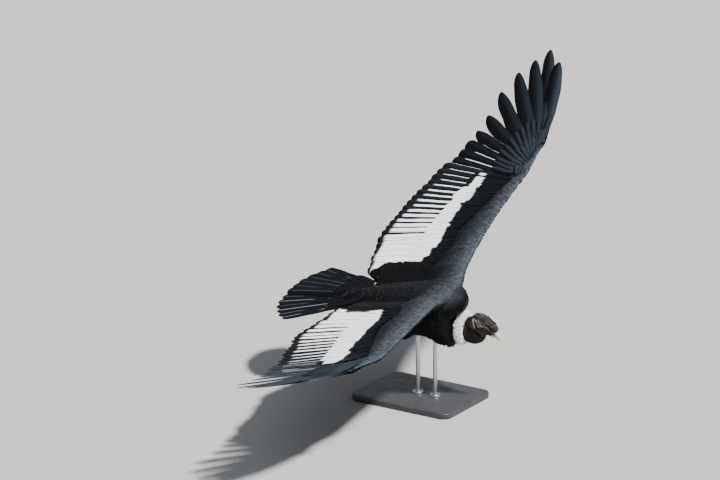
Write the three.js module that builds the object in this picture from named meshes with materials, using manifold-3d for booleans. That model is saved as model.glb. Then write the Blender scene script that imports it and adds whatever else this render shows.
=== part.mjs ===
// A life-size adult male Andean condor, gliding with its left wing raised, on a plain display stand.
// Millimetres, +Z up, origin at the middle of the base's underside, the bird heading along +X.
import * as THREE from "three";
import { mergeVertices } from "three/addons/utils/BufferGeometryUtils.js";
import Module from "manifold-3d";

const wasm = await Module();
wasm.setup();

const GAP = 0.3; // between pieces that touch

// How the bird hangs in the air: its own frame has +X forward along the spine, +Y to its left,
// +Z to its back, and its origin midway between the shoulder joints.
const BANK = 16.3; // degrees, left wing up
const PITCH = 11.4; // degrees, nose up
const SHOULDER_HEIGHT = 490; // above the floor
const SHOULDER_AHEAD = 110; // of the stand's middle

// Stand
const BASE = { length: 480, width: 360, thick: 24, corner: 40, bevel: 4 };
const ROD = { radius: 9, front: 72, rear: -12, footRadius: 24, footHigh: 7, reach: 330 };

// Torso along the spine: rows of [t, x, y, z, half width, half height]
const TORSO = [
  [0, 88, 0, -62, 12, 10],
  [0.05, 80, 0, -66, 38, 28],
  [0.12, 60, 0, -58, 70, 46],
  [0.2, 36, 0, -54, 92, 58],
  [0.27, 18, 0, -66, 106, 80],
  [0.33, 2, 0, -100, 117, 120],
  [0.39, -20, 0, -109, 126, 133],
  [0.55, -100, 0, -87, 137, 114],
  [0.72, -205, 0, -76, 124, 103],
  [0.87, -315, 0, -50, 96, 72],
  [1, -415, 0, -24, 66, 38],
];
const TORSO_NET = { rings: 17, around: 16, upright: true };

// Neck from inside the torso to the back of the skull
const NECK = [
  [0, -20, 0, -160, 44, 46],
  [0.4, 40, 0, -188, 42, 48],
  [0.7, 78, 0, -203, 40, 54],
  [1, 106, 0, -192, 32, 42],
];
const NECK_NET = { rings: 6, around: 12 };

// Ruff, a ring of down round the foot of the neck, in a frame of its own with x along the neck
const RUFF = { x: 36, z: -181, droop: 13, ring: 47, coreHigh: 12, coreDeep: 17 };
const RUFF_LOCK = { wide: 33, thick: 4.2, backward: -0.12, down: -0.1 };
const RUFF_ROWS = [
  { lean: 46, locks: 11, x: 9, root: 44, length: 30 },
  { lean: 10, locks: 12, x: 1, root: 46, length: 34 },
  { lean: -26, locks: 11, x: -8, root: 46, length: 33 },
];

// Head, in its own frame: x towards the bill, z to the crown, from the middle of the skull
const HEAD = { x: 127, z: -171, droop: 41 };
const SKULL = [
  [0, -50, 0, -6, 16, 16],
  [0.1, -44, 0, -5, 25, 25],
  [0.35, -16, 0, -1, 33, 31],
  [0.6, 14, 0, 0, 30, 30],
  [0.82, 38, 0, -2, 20, 24],
  [1, 52, 0, -3, 14, 18],
];
const EYE = { x: 22, y: 22, z: 9, radius: 6.6, lid: 1.9 };
const THROAT = [
  [0, -22, 0, -26, 12, 12],
  [0.5, 8, 0, -34, 20, 24],
  [1, 36, 0, -22, 11, 9],
];
const NOSTRIL = { x: 45, y: 15.5, z: 6, long: 5, high: 2.2, deep: 4 };
const MOUTH = { from: [0.99, -26], to: [0.6, -34], thick: 2 };
// Folds of skin on each side of the skull: where each starts and ends, as the place along the skull
// and the degrees round it, and half its thickness
const FOLDS = [
  { from: [0.22, 8], to: [0.52, 38], thick: 3.2 },
  { from: [0.2, 28], to: [0.47, 52], thick: 2.8 },
  { from: [0.22, -40], to: [0.6, -52], thick: 6 },
];
const UPPER_BILL = [
  [0, 36, 0, 2, 13, 13],
  [0.35, 58, 0, 3, 12.5, 12.5],
  [0.62, 76, 0, -1, 11, 11.5],
  [0.82, 86, 0, -11, 8, 8.5],
  [1, 84, 0, -25, 2.2, 2.4],
];
const LOWER_BILL = [
  [0, 30, 0, -16, 13, 8],
  [0.5, 56, 0, -17, 10.5, 7],
  [1, 75, 0, -18, 5, 4],
];
const COMB = { rear: -46, front: 72, high: 72, base: 12, half: 10, folds: 7, lean: 5, foldDepth: 0.1 };
const COMB_NET = { rings: 9, around: 14 };

// Wing bones and the flesh round them
const SHOULDER = { x: 0, span: 100 };
const HUMERUS = 270;
const ULNA = 310;
const HAND_BONES = 236;
const HAND_LEAN = 6.5; // degrees forward of straight out
const INNER_ROOT = { x: -62, span: 168 }; // of the innermost secondary
const ULNA_SHARE = 0.68; // of the secondaries, rooted along the ulna
const WRIST_CUT = { ahead: 160, behind: 560, out: 14, high: 60 };
const SHOULDER_FRONT = 52; // leading edge ahead of the shoulder joint
const WRIST_FRONT = 42; // leading edge ahead of the wrist joint

const WRIST_SPAN = 634; // from the body's middle to the wrist, along the wing
const ROOT_RISE = 18; // degrees more, where the wing leaves the body
// How each wing is held: how far ahead its wrist is, how late its leading edge swings forward,
// then degrees of rise of the arm and the hand, of the tip's curl, of twist and of the hand's turn
const WINGS = {
  left: { side: 1, wristX: 90, leadPower: 1.9, arm: 16, hand: 14, curl: 14, twist: 0, handTurn: 1 },
  right: { side: -1, wristX: 22, leadPower: 1.2, arm: 4, hand: 22.5, curl: 0, twist: 1, handTurn: 9 },
};
// Flesh of the arm and hand: rows of [span, chord, thickness over the bones, share of it under them]
const FLESH = [
  [40, 196, 46, 1],
  [130, 192, 34, 1],
  [200, 188, 26, 0.9],
  [330, 184, 20, 0.8],
  [450, 172, 18, 0.8],
  [574, 140, 17, 0.8],
  [664, 92, 15, 0.8],
  [754, 58, 9, 0.8],
];
const FLESH_TIP = { past: 24, row: [22, 3.5, 0.8] };
const SECONDARY = { count: 20, outer: 428, inner: 388, outWeb: 19, inWeb: 40, fan: 17 };
const TERTIAL = { count: 4, step: 14, length: 392, shorter: 24 };
const PRIMARY_LENGTHS = [404, 402, 404, 408, 434, 506, 544, 550, 554, 442];
const PRIMARY_FAN = [21, 25, 29.5, 35.5, 44, 54, 63.5, 71.5, 78.5, 85]; // degrees out from straight back
const FIRST_FINGER = 3;
const PRIMARY = { outWeb: 18, inWeb: 38, curl: 34, bow: -22 };
const GREATER_COVERT = { count: 13, outer: 150, inner: 210, height: 9, outWeb: 22, inWeb: 36 };
const MEDIAN_COVERT = { count: 8, outer: 86, inner: 120, height: 17, outWeb: 32, inWeb: 42 };
const PRIMARY_COVERT = { count: 7, outer: 190, inner: 150, height: 7, outWeb: 15, inWeb: 26 };
const ALULA = { count: 2, length: 120, shorter: 16, height: 14, outWeb: 10, inWeb: 18 };
const SHINGLE = 0.11; // rise of a vane across its width, so that it clears the next
const SHAFT = { root: 1.3, tip: 0.5, edge: 0.3, cup: 0.8 }; // half thicknesses, and how far edges drop

// Outlines of the vanes: rows of [place along it, share of its width]
const STRAIGHT = [[0, 0.6], [0.88, 0.96], [1, 0.46]];
const SHORT = [[0, 0.4], [0.6, 1], [1, 0.5]];
const FINGER = [[0, 0.2], [0.22, 0.95], [0.5, 1], [0.62, 0.72], [0.93, 0.56], [1, 0.3]];

// Tail, turned and rolled a little from the spine
const TAIL = { base: -400, z: -8, yaw: 3.5, roll: 2 };
const TAIL_VANE = { pairs: 6, length: 420, spread: 20.5, step: 11, outWeb: 27, inWeb: 34 };
const TAIL_COVERT = { pairs: 3, length: 165, spread: 16, step: 22, height: 9, outWeb: 28, inWeb: 36 };
const TAIL_LAP = 4.5; // rise of the left half's vanes over the right half's in the middle
const TAIL_ROOT = [
  [0, -370, 0, -26, 60, 30],
  [0.5, -440, 0, -18, 70, 20],
  [1, -510, 0, -12, 40, 6],
];

// Legs folded back under the tail: rows of [t, x, y, z, half width, half height], y for the left leg
const THIGH = [
  [0, -166, 66, -140, 38, 33],
  [0.4, -210, 68, -142, 42, 38],
  [0.8, -290, 62, -132, 26, 26],
  [1, -318, 60, -126, 15, 15],
];
const SHANK = [
  [0, -300, 60, -130, 12, 12],
  [0.5, -362, 57, -112, 9.5, 9.5],
  [1, -424, 54, -94, 11, 10],
];
const SOLE = { heel: 6, front: 26, wide: [11, 15], high: [10, 8.5] };
const TOE = { root: 8, tip: 5.5, droop: 14 };
const CLAW = { root: 4.6, tip: 0.9 };
const TOES = [
  { name: "inner", spread: -16, length: 78, claw: 26, rise: 4 },
  { name: "middle", spread: 2, length: 112, claw: 28, rise: 2 },
  { name: "outer", spread: 20, length: 80, claw: 24, rise: 4 },
  { name: "hind", spread: 6, length: 44, claw: 22, rise: -30 },
];

const random = mulberry(7);
function mulberry(seed) {
  let state = seed;
  return () => {
    state = (state + 0x6d2b79f5) | 0;
    let mixed = Math.imul(state ^ (state >>> 15), 1 | state);
    mixed = (mixed + Math.imul(mixed ^ (mixed >>> 7), 61 | mixed)) ^ mixed;
    return ((mixed ^ (mixed >>> 14)) >>> 0) / 4294967296;
  };
}
const vary = (amount) => (random() * 2 - 1) * amount;
const lerp = THREE.MathUtils.lerp;
const clamp = THREE.MathUtils.clamp;
const smooth = THREE.MathUtils.smoothstep;
const radians = THREE.MathUtils.degToRad;
const vec = (x, y, z) => new THREE.Vector3(x, y, z);

// Values between the rows of a small table, along a smooth curve through them. Its first column is
// the place.
function between(rows, at) {
  let i = 1;
  while (i < rows.length - 1 && at > rows[i][0]) i++;
  const [a, b] = [rows[i - 1], rows[i]];
  const before = rows[Math.max(i - 2, 0)];
  const after = rows[Math.min(i + 1, rows.length - 1)];
  const step = b[0] - a[0];
  const t = clamp((at - a[0]) / step, 0, 1);
  return a.slice(1).map((value, k) => {
    const next = b[k + 1];
    const slopeA = ((next - before[k + 1]) / (b[0] - before[0])) * step;
    const slopeB = ((after[k + 1] - value) / (after[0] - a[0])) * step;
    return (
      (2 * t ** 3 - 3 * t ** 2 + 1) * value +
      (t ** 3 - 2 * t ** 2 + t) * slopeA +
      (3 * t ** 2 - 2 * t ** 3) * next +
      (t ** 3 - t ** 2) * slopeB
    );
  });
}

// A closed solid from a geometry, turned to face out
function solidOf(geometry) {
  const bare = geometry.clone();
  bare.deleteAttribute("normal");
  bare.deleteAttribute("uv");
  const merged = mergeVertices(bare, 1e-3);
  const corners = new Uint32Array(merged.index.array);
  const make = () =>
    new wasm.Manifold(
      new wasm.Mesh({ numProp: 3, vertProperties: merged.attributes.position.array, triVerts: corners }),
    );
  const made = make();
  if (made.volume() >= 0) return made;
  for (let i = 0; i < corners.length; i += 3) [corners[i], corners[i + 1]] = [corners[i + 1], corners[i]];
  return make();
}

function solidFrom(points, faces) {
  return solidOf(new THREE.BufferGeometry().setFromPoints(points).setIndex(faces));
}

const union = (solids) => wasm.Manifold.union(solids);
const bySize = (a, b) => b.volume() - a.volume();
const largest = (solid) => solid.decompose().sort(bySize)[0];

function geometryOf(solid) {
  const mesh = solid.getMesh();
  return new THREE.BufferGeometry()
    .setAttribute("position", new THREE.BufferAttribute(mesh.vertProperties, 3))
    .setIndex(new THREE.BufferAttribute(mesh.triVerts, 1));
}

// A skin over a row of rings of points, closed at both ends
function loft(rings) {
  const around = rings[0].length;
  const points = rings.flat();
  const faces = [];
  for (let i = 0; i < rings.length - 1; i++)
    for (let j = 0; j < around; j++) {
      const a = i * around + j;
      const b = i * around + ((j + 1) % around);
      faces.push(a, b, b + around, a, b + around, a + around);
    }
  [0, rings.length - 1].forEach((ring) => {
    const middle = points.length;
    points.push(rings[ring].reduce((sum, p) => sum.add(p), vec(0, 0, 0)).divideScalar(around));
    for (let j = 0; j < around; j++) {
      const edge = [ring * around + j, ring * around + ((j + 1) % around)];
      faces.push(middle, ...(ring === 0 ? edge.reverse() : edge));
    }
  });
  return solidFrom(points, faces);
}

// A closed ring swept round the x axis: shape(turn, round) gives its points
function loftRing(around, section, shape) {
  const points = [];
  const faces = [];
  for (let i = 0; i < around; i++)
    for (let j = 0; j < section; j++) {
      points.push(shape((2 * Math.PI * i) / around, (2 * Math.PI * j) / section));
      const next = ((i + 1) % around) * section;
      const [a, b] = [i * section + j, i * section + ((j + 1) % section)];
      const [c, d] = [next + ((j + 1) % section), next + j];
      faces.push(a, b, c, a, c, d);
    }
  return solidFrom(points, faces);
}

// A rounded body along a path given by rows of [t, x, y, z, half width, half height]. Upright rings
// stay square to the x axis, and ripple gives the share by which each ring swells.
function body(rows, { rings, around, grow = 0, side = 1, upright = false, ripple = () => 0 }) {
  const made = [];
  let lastAcross = vec(0, -1, 0);
  for (let i = 0; i <= rings; i++) {
    const t = i / rings;
    const [x, y, z, wide, high] = between(rows, t);
    const [xa, ya, za] = between(rows, Math.max(t - 0.02, 0));
    const [xb, yb, zb] = between(rows, Math.min(t + 0.02, 1));
    const along = upright ? vec(Math.sign(xb - xa), 0, 0) : vec(xb - xa, yb - ya, zb - za).normalize();
    const across = vec(0, 0, 0).crossVectors(vec(0, 0, 1), along);
    if (across.length() < 0.2) across.copy(lastAcross);
    if (i > 0 && across.dot(lastAcross) < 0) across.negate();
    lastAcross = across.normalize();
    const over = vec(0, 0, 0).crossVectors(along, across);
    const push = i === 0 ? -grow : i === rings ? grow : 0;
    const centre = vec(x, y, z).addScaledVector(along, push);
    made.push(
      Array.from({ length: around }, (_, j) => {
        const turn = (2 * Math.PI * j) / around;
        const swell = 1 + ripple(t, turn);
        const point = centre
          .clone()
          .addScaledVector(across, Math.cos(turn) * (wide * swell + grow))
          .addScaledVector(over, Math.sin(turn) * (high * swell + grow));
        point.y *= side;
        return point;
      }),
    );
  }
  return loft(made);
}

// A closed thin solid from a net of point pairs, [upper, lower], with both faces split alike
function plate(net) {
  const points = net.flat(2);
  const lastRow = net.length - 1;
  const lastColumn = net[0].length - 1;
  const id = (row, column, face) => (row * (lastColumn + 1) + column) * 2 + face;
  const faces = [];
  const quad = (a, b, c, d) => faces.push(a, b, c, a, c, d);
  for (let row = 0; row < lastRow; row++) {
    for (let column = 0; column < lastColumn; column++)
      for (const face of [0, 1]) {
        const a = id(row, column, face);
        const b = id(row, column + 1, face);
        const c = id(row + 1, column + 1, face);
        const d = id(row + 1, column, face);
        if (face) faces.push(a, c, b, a, d, c);
        else quad(a, b, c, d);
      }
    quad(id(row, 0, 0), id(row + 1, 0, 0), id(row + 1, 0, 1), id(row, 0, 1));
    quad(
      id(row, lastColumn, 1),
      id(row + 1, lastColumn, 1),
      id(row + 1, lastColumn, 0),
      id(row, lastColumn, 0),
    );
  }
  for (let column = 0; column < lastColumn; column++) {
    quad(id(0, column, 1), id(0, column + 1, 1), id(0, column + 1, 0), id(0, column, 0));
    quad(
      id(lastRow, column, 0),
      id(lastRow, column + 1, 0),
      id(lastRow, column + 1, 1),
      id(lastRow, column, 1),
    );
  }
  return solidFrom(points, faces);
}

// One feather as a thin vane with a raised shaft, on a sheet where place(x, span, height) gives the
// point. It runs from its root at (x, span), turned out from straight back.
function vane(place, { x, span, turn, length, height = 0, curl = 0, bow = 0, outWeb, inWeb, shape }) {
  const ahead = -Math.cos(radians(turn));
  const out = Math.sin(radians(turn));
  const net = shape.map(([t, share], row) => {
    const bend = bow * t * t;
    const thick = lerp(SHAFT.root, SHAFT.tip, t);
    return [-1, 0, 1].map((column) => {
      const reach = column * share * (column > 0 ? outWeb : inWeb);
      const rounded = row === shape.length - 1 ? Math.abs(reach) * 0.9 : 0;
      const along = length * t - rounded;
      const middle = height + curl * t * t + reach * SHINGLE - Math.abs(column) * share * SHAFT.cup;
      return [1, -1].map((face) =>
        place(
          x + ahead * along + out * (bend + reach),
          span + out * along - ahead * (bend + reach),
          middle + face * (column === 0 ? thick : SHAFT.edge),
        ),
      );
    });
  });
  return plate(net);
}

// One flat, tapered lock of down from a root, growing along a direction and bending towards another
function lock(root, grows, across, bends, length, wide, thick) {
  const face = vec(0, 0, 0).crossVectors(grows, across).normalize();
  const points = [];
  for (const [t, share] of [[0, 0.8], [0.5, 1], [0.84, 0.72]]) {
    const middle = root.clone().addScaledVector(grows, length * t).addScaledVector(bends, length * t * t);
    for (const [side, up] of [[1, 0], [0, 1], [-1, 0], [0, -1]])
      points.push(
        middle
          .clone()
          .addScaledVector(across, (side * share * wide) / 2)
          .addScaledVector(face, (up * share * thick) / 2),
      );
  }
  points.push(root.clone().addScaledVector(grows, length).addScaledVector(bends, length));
  const faces = [0, 2, 1, 0, 3, 2];
  for (let row = 0; row < 2; row++)
    for (let j = 0; j < 4; j++) {
      const [a, b] = [row * 4 + j, row * 4 + ((j + 1) % 4)];
      faces.push(a, b, b + 4, a, b + 4, a + 4);
    }
  for (let j = 0; j < 4; j++) faces.push(8 + j, 8 + ((j + 1) % 4), 12);
  return solidFrom(points, faces);
}

// Where the bird, its head and its ruff are
const birdPlace = new THREE.Matrix4()
  .makeRotationFromEuler(new THREE.Euler(radians(BANK), radians(-PITCH), 0, "YXZ"))
  .setPosition(SHOULDER_AHEAD, 0, SHOULDER_HEIGHT);
const headPlace = new THREE.Matrix4().makeRotationY(radians(HEAD.droop)).setPosition(HEAD.x, 0, HEAD.z);
const ruffPlace = new THREE.Matrix4().makeRotationY(radians(RUFF.droop)).setPosition(RUFF.x, 0, RUFF.z);
const moved = (solid, place) => solid.transform(place.elements);

const bird = new THREE.Group();
bird.name = "bird";
bird.applyMatrix4(birdPlace);
const head = new THREE.Group();
head.applyMatrix4(headPlace);
bird.add(head);
const part = new THREE.Group();
part.add(bird);

const FINISH = {
  plumage: { color: 0x15171a, roughness: 0.6 },
  ruffDown: { color: 0xeeeae4, roughness: 0.9 },
  bareSkin: { color: 0x2a2523, roughness: 0.7 },
  combSkin: { color: 0x232426, roughness: 0.65 },
  billHorn: { color: 0xd8cdb4, roughness: 0.4 },
  eye: { color: 0x4a2a18, roughness: 0.1 },
  scales: { color: 0x33302f, roughness: 0.7 },
  claw: { color: 0x1b1918, roughness: 0.4 },
  standPaint: { color: 0x2b2c2e, roughness: 0.5 },
  steel: { color: 0x8d9094, roughness: 0.35, metalness: 1 },
};

function add(group, name, solid, finish) {
  const mesh = new THREE.Mesh(geometryOf(largest(solid)), new THREE.MeshStandardMaterial(FINISH[finish]));
  mesh.name = name;
  group.add(mesh);
}

// Torso and neck
const torso = body(TORSO, TORSO_NET);
const torsoSkin = body(TORSO, { ...TORSO_NET, grow: 2 * GAP });
add(bird, "torso", torso, "plumage");

const skull = (grow) => body(SKULL, { rings: 7, around: 14, grow });
const throat = (grow) => body(THROAT, { rings: 4, around: 10, grow });
const skullPoint = (t, turn, lift) => {
  const [x, , z, wide, high] = between(SKULL, t);
  return vec(x, Math.cos(radians(turn)) * (wide + lift), z + Math.sin(radians(turn)) * (high + lift));
};
const fold = ({ from, to, thick }, side, grow = 0) => {
  const rows = [0, 1 / 3, 2 / 3, 1].map((t) => {
    const bow = Math.sin(Math.PI * t);
    const at = skullPoint(lerp(from[0], to[0], t), lerp(from[1], to[1], t) - 6 * bow, -0.5);
    const half = thick * (0.45 + 0.55 * bow);
    return [t, at.x, at.y, at.z, half, half];
  });
  return body(rows, { rings: 3, around: 4, side, grow });
};
const folds = (grow) => [1, -1].flatMap((side) => FOLDS.map((shape) => fold(shape, side, grow)));
const headGrown = union([skull(GAP), throat(GAP), ...folds(2 * GAP)]);
const headOnBird = moved(headGrown, headPlace);
const neck = body(NECK, NECK_NET).subtract(torsoSkin).subtract(headOnBird);
add(bird, "neck", neck, "bareSkin");

// Ruff, a ring of down with its locks in rows
const ruffCore = loftRing(20, 6, (turn, round) => {
  const radius = RUFF.ring + RUFF.coreHigh * Math.cos(round);
  return vec(RUFF.coreDeep * Math.sin(round), radius * Math.cos(turn), radius * Math.sin(turn));
});
const ruffLocks = RUFF_ROWS.flatMap((row, r) =>
  Array.from({ length: row.locks }, (_, i) => {
    const turn = (2 * Math.PI * (i + (r % 2) / 2)) / row.locks + vary(0.05);
    const lean = radians(row.lean + vary(5));
    const radial = vec(0, Math.cos(turn), Math.sin(turn));
    const grows = radial.clone().multiplyScalar(Math.cos(lean)).setX(Math.sin(lean));
    const swirl = vary(0.25);
    const across = vec(swirl, -Math.sin(turn), Math.cos(turn)).normalize();
    const root = radial.clone().multiplyScalar(row.root).setX(row.x);
    const bends = vec(RUFF_LOCK.backward, 0, RUFF_LOCK.down);
    const wide = RUFF_LOCK.wide * (1 + vary(0.12));
    return lock(root, grows, across, bends, row.length * (1 + vary(0.08)), wide, RUFF_LOCK.thick);
  }),
);
const ruff = moved(union([ruffCore, ...ruffLocks]), ruffPlace)
  .subtract(torsoSkin)
  .subtract(body(NECK, { ...NECK_NET, grow: GAP }))
  .subtract(headOnBird);
add(bird, "ruff", ruff, "ruffDown");

// Head with its lids, nostrils, line of the mouth and folds of skin, then eyes, bill and comb
const eyeBall = (side, grow) =>
  solidOf(new THREE.SphereGeometry(EYE.radius + grow, 10, 7).translate(EYE.x, side * EYE.y, EYE.z));
const headSides = [1, -1].map((side) => ({
  lid: solidOf(
    new THREE.TorusGeometry(EYE.radius - 0.2, EYE.lid, 4, 10)
      .rotateX(-side * Math.PI * 0.5)
      .rotateZ(-side * 0.25)
      .translate(EYE.x + 0.6, side * (EYE.y + 2.4), EYE.z),
  ),
  nostril: solidOf(
    new THREE.SphereGeometry(1, 8, 5)
      .scale(NOSTRIL.long, NOSTRIL.deep, NOSTRIL.high)
      .rotateY(-0.15)
      .translate(NOSTRIL.x, side * NOSTRIL.y, NOSTRIL.z),
  ),
  mouth: fold(MOUTH, side),
}));
let headSolid = union([skull(0), throat(0), ...headSides.map((each) => each.lid), ...folds(0)]);
headSides.forEach((each, i) => {
  headSolid = headSolid.subtract(eyeBall(1 - 2 * i, GAP)).subtract(each.nostril).subtract(each.mouth);
});
const upperBill = (grow) => body(UPPER_BILL, { rings: 9, around: 12, grow });
const combRows = Array.from({ length: 7 }, (_, i) => {
  const t = i / 6;
  const high = ((COMB.high - COMB.base) / 2) * Math.sin(Math.PI * lerp(0.1, 0.92, t)) ** 0.6;
  const half = COMB.half * Math.sin(Math.PI * lerp(0.12, 0.87, t));
  return [t, lerp(COMB.rear, COMB.front, t), 0, COMB.base + high * 0.9, half, high];
});
const ripple = (t, turn) => COMB.foldDepth * Math.cos(COMB.folds * turn + COMB.lean * t);
const comb = body(combRows, { ...COMB_NET, ripple });
const combSkin = body(combRows, { ...COMB_NET, ripple, grow: 2 * GAP });
add(head, "comb", comb.subtract(headGrown).subtract(upperBill(GAP)), "combSkin");
add(head, "head", headSolid.subtract(combSkin), "bareSkin");
add(head, "eye_left", eyeBall(1, 0), "eye");
add(head, "eye_right", eyeBall(-1, 0), "eye");
add(head, "bill_upper", upperBill(0).subtract(headGrown), "billHorn");
const lowerBill = body(LOWER_BILL, { rings: 5, around: 10 });
add(head, "bill_lower", lowerBill.subtract(headGrown).subtract(upperBill(GAP)), "billHorn");

// The curved sheet that a wing lies on, bent up along the span and twisted
function wingSheet(wing) {
  const STEP = 10;
  const LONGEST = 1700;
  const line = [[0, -14]];
  const rise = (span) =>
    radians(
      wing.arm * smooth(span, 50, 110) +
        ROOT_RISE * smooth(span, 50, 90) * (1 - smooth(span, 120, 170)) +
        (wing.hand - wing.arm) * smooth(span, WRIST_SPAN - 90, WRIST_SPAN + 50) +
        wing.curl * clamp((span - WRIST_SPAN) / 800, 0, 1.1) ** 2,
    );
  for (let span = 0; span < LONGEST; span += STEP) {
    const [y, z] = line.at(-1);
    const angle = rise(span + STEP / 2);
    line.push([y + STEP * Math.cos(angle), z + STEP * Math.sin(angle)]);
  }
  return (x, span, height) => {
    const at = clamp(span / STEP, 0, line.length - 1.001);
    const [a, b] = [line[Math.floor(at)], line[Math.floor(at) + 1]];
    const y = lerp(a[0], b[0], at % 1);
    const z = lerp(a[1], b[1], at % 1);
    const angle = rise(span);
    const twist = radians(wing.twist * smooth(span, 100, 260));
    const forward = x * Math.cos(twist) - height * Math.sin(twist);
    const over = x * Math.sin(twist) + height * Math.cos(twist);
    return vec(forward, wing.side * (y - over * Math.sin(angle)), z + over * Math.cos(angle));
  };
}

// Joints of a wing on its flat sheet, with the elbow behind the line from shoulder to wrist
function wingJoints(wing) {
  const wrist = { x: wing.wristX, span: WRIST_SPAN };
  const [dx, ds] = [wrist.x - SHOULDER.x, wrist.span - SHOULDER.span];
  const reach = Math.hypot(dx, ds);
  const along = (HUMERUS ** 2 - ULNA ** 2 + reach ** 2) / (2 * reach);
  const behind = Math.sqrt(HUMERUS ** 2 - along ** 2);
  const elbow = {
    x: SHOULDER.x + (along * dx - behind * ds) / reach,
    span: SHOULDER.span + (along * ds + behind * dx) / reach,
  };
  const lean = radians(HAND_LEAN + wing.handTurn);
  const fingertip = {
    x: wrist.x + HAND_BONES * Math.sin(lean),
    span: wrist.span + HAND_BONES * Math.cos(lean),
  };
  return { elbow, wrist, fingertip };
}

// Where a wing's flight feathers root, from 0 at the wrist to 1 at the body
function secondaryRoot({ elbow, wrist }, f) {
  const onUlna = Math.min(f / ULNA_SHARE, 1);
  const inward = Math.max(f - ULNA_SHARE, 0) / (1 - ULNA_SHARE);
  return {
    x: lerp(lerp(wrist.x - 12, elbow.x - 6, onUlna), INNER_ROOT.x, inward),
    span: lerp(lerp(wrist.span + 6, elbow.span, onUlna), INNER_ROOT.span, inward),
    turn: SECONDARY.fan * (1 - f) ** 1.6 - 1.5 * f,
  };
}

// Leading edge of the flat wing
function leadingEdge(wing, { wrist, fingertip }, span) {
  const front = wrist.x + WRIST_FRONT;
  const wristEdge = wrist.span + 45;
  if (span <= wristEdge) {
    const t = clamp((span - SHOULDER.span) / (wristEdge - SHOULDER.span), 0, 1);
    return lerp(SHOULDER_FRONT, front, t ** wing.leadPower);
  }
  const t = clamp((span - wristEdge) / (fingertip.span + 20 - wristEdge), 0, 1);
  return lerp(front, fingertip.x + 14, t * t * 0.6 + t * 0.4);
}

// Flesh and small feathers of the arm and hand
function wingCore(wing, joints, place) {
  const end = joints.fingertip.span + FLESH_TIP.past;
  const rows = [...FLESH, [end, ...FLESH_TIP.row]];
  const AROUND = 10;
  const RINGS = 12;
  return loft(
    Array.from({ length: RINGS + 1 }, (_, i) => {
      const span = lerp(rows[0][0], end, i / RINGS);
      const [chord, thick, under] = between(rows, span);
      const front = leadingEdge(wing, joints, span);
      return Array.from({ length: AROUND }, (_, j) => {
        const turn = (2 * Math.PI * (j + 0.5)) / AROUND;
        const back = (1 - Math.cos(turn)) / 2;
        const swell = Math.max(2.1 * Math.sqrt(back) * (1 - back), 0.16);
        return place(front - chord * back, span, thick * swell * (Math.sin(turn) > 0 ? 1 : -under));
      });
    }),
  );
}

// A thin wall across the wing between its outermost secondary and its innermost primary
function wristCut(joints, place) {
  const slope = Math.tan(radians((SECONDARY.fan + PRIMARY_FAN[0]) / 2));
  const line = [WRIST_CUT.ahead, 0, -WRIST_CUT.behind / 2, -WRIST_CUT.behind].map((x) => ({
    x: joints.wrist.x + x,
    span: joints.wrist.span + WRIST_CUT.out + Math.max(-x, 0) * slope,
  }));
  return plate(
    line.map(({ x, span }) =>
      [-1, 1].map((level) =>
        [1, -1].map((face) => place(x, span + (face * GAP) / 2, level * WRIST_CUT.high)),
      ),
    ),
  );
}

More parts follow.
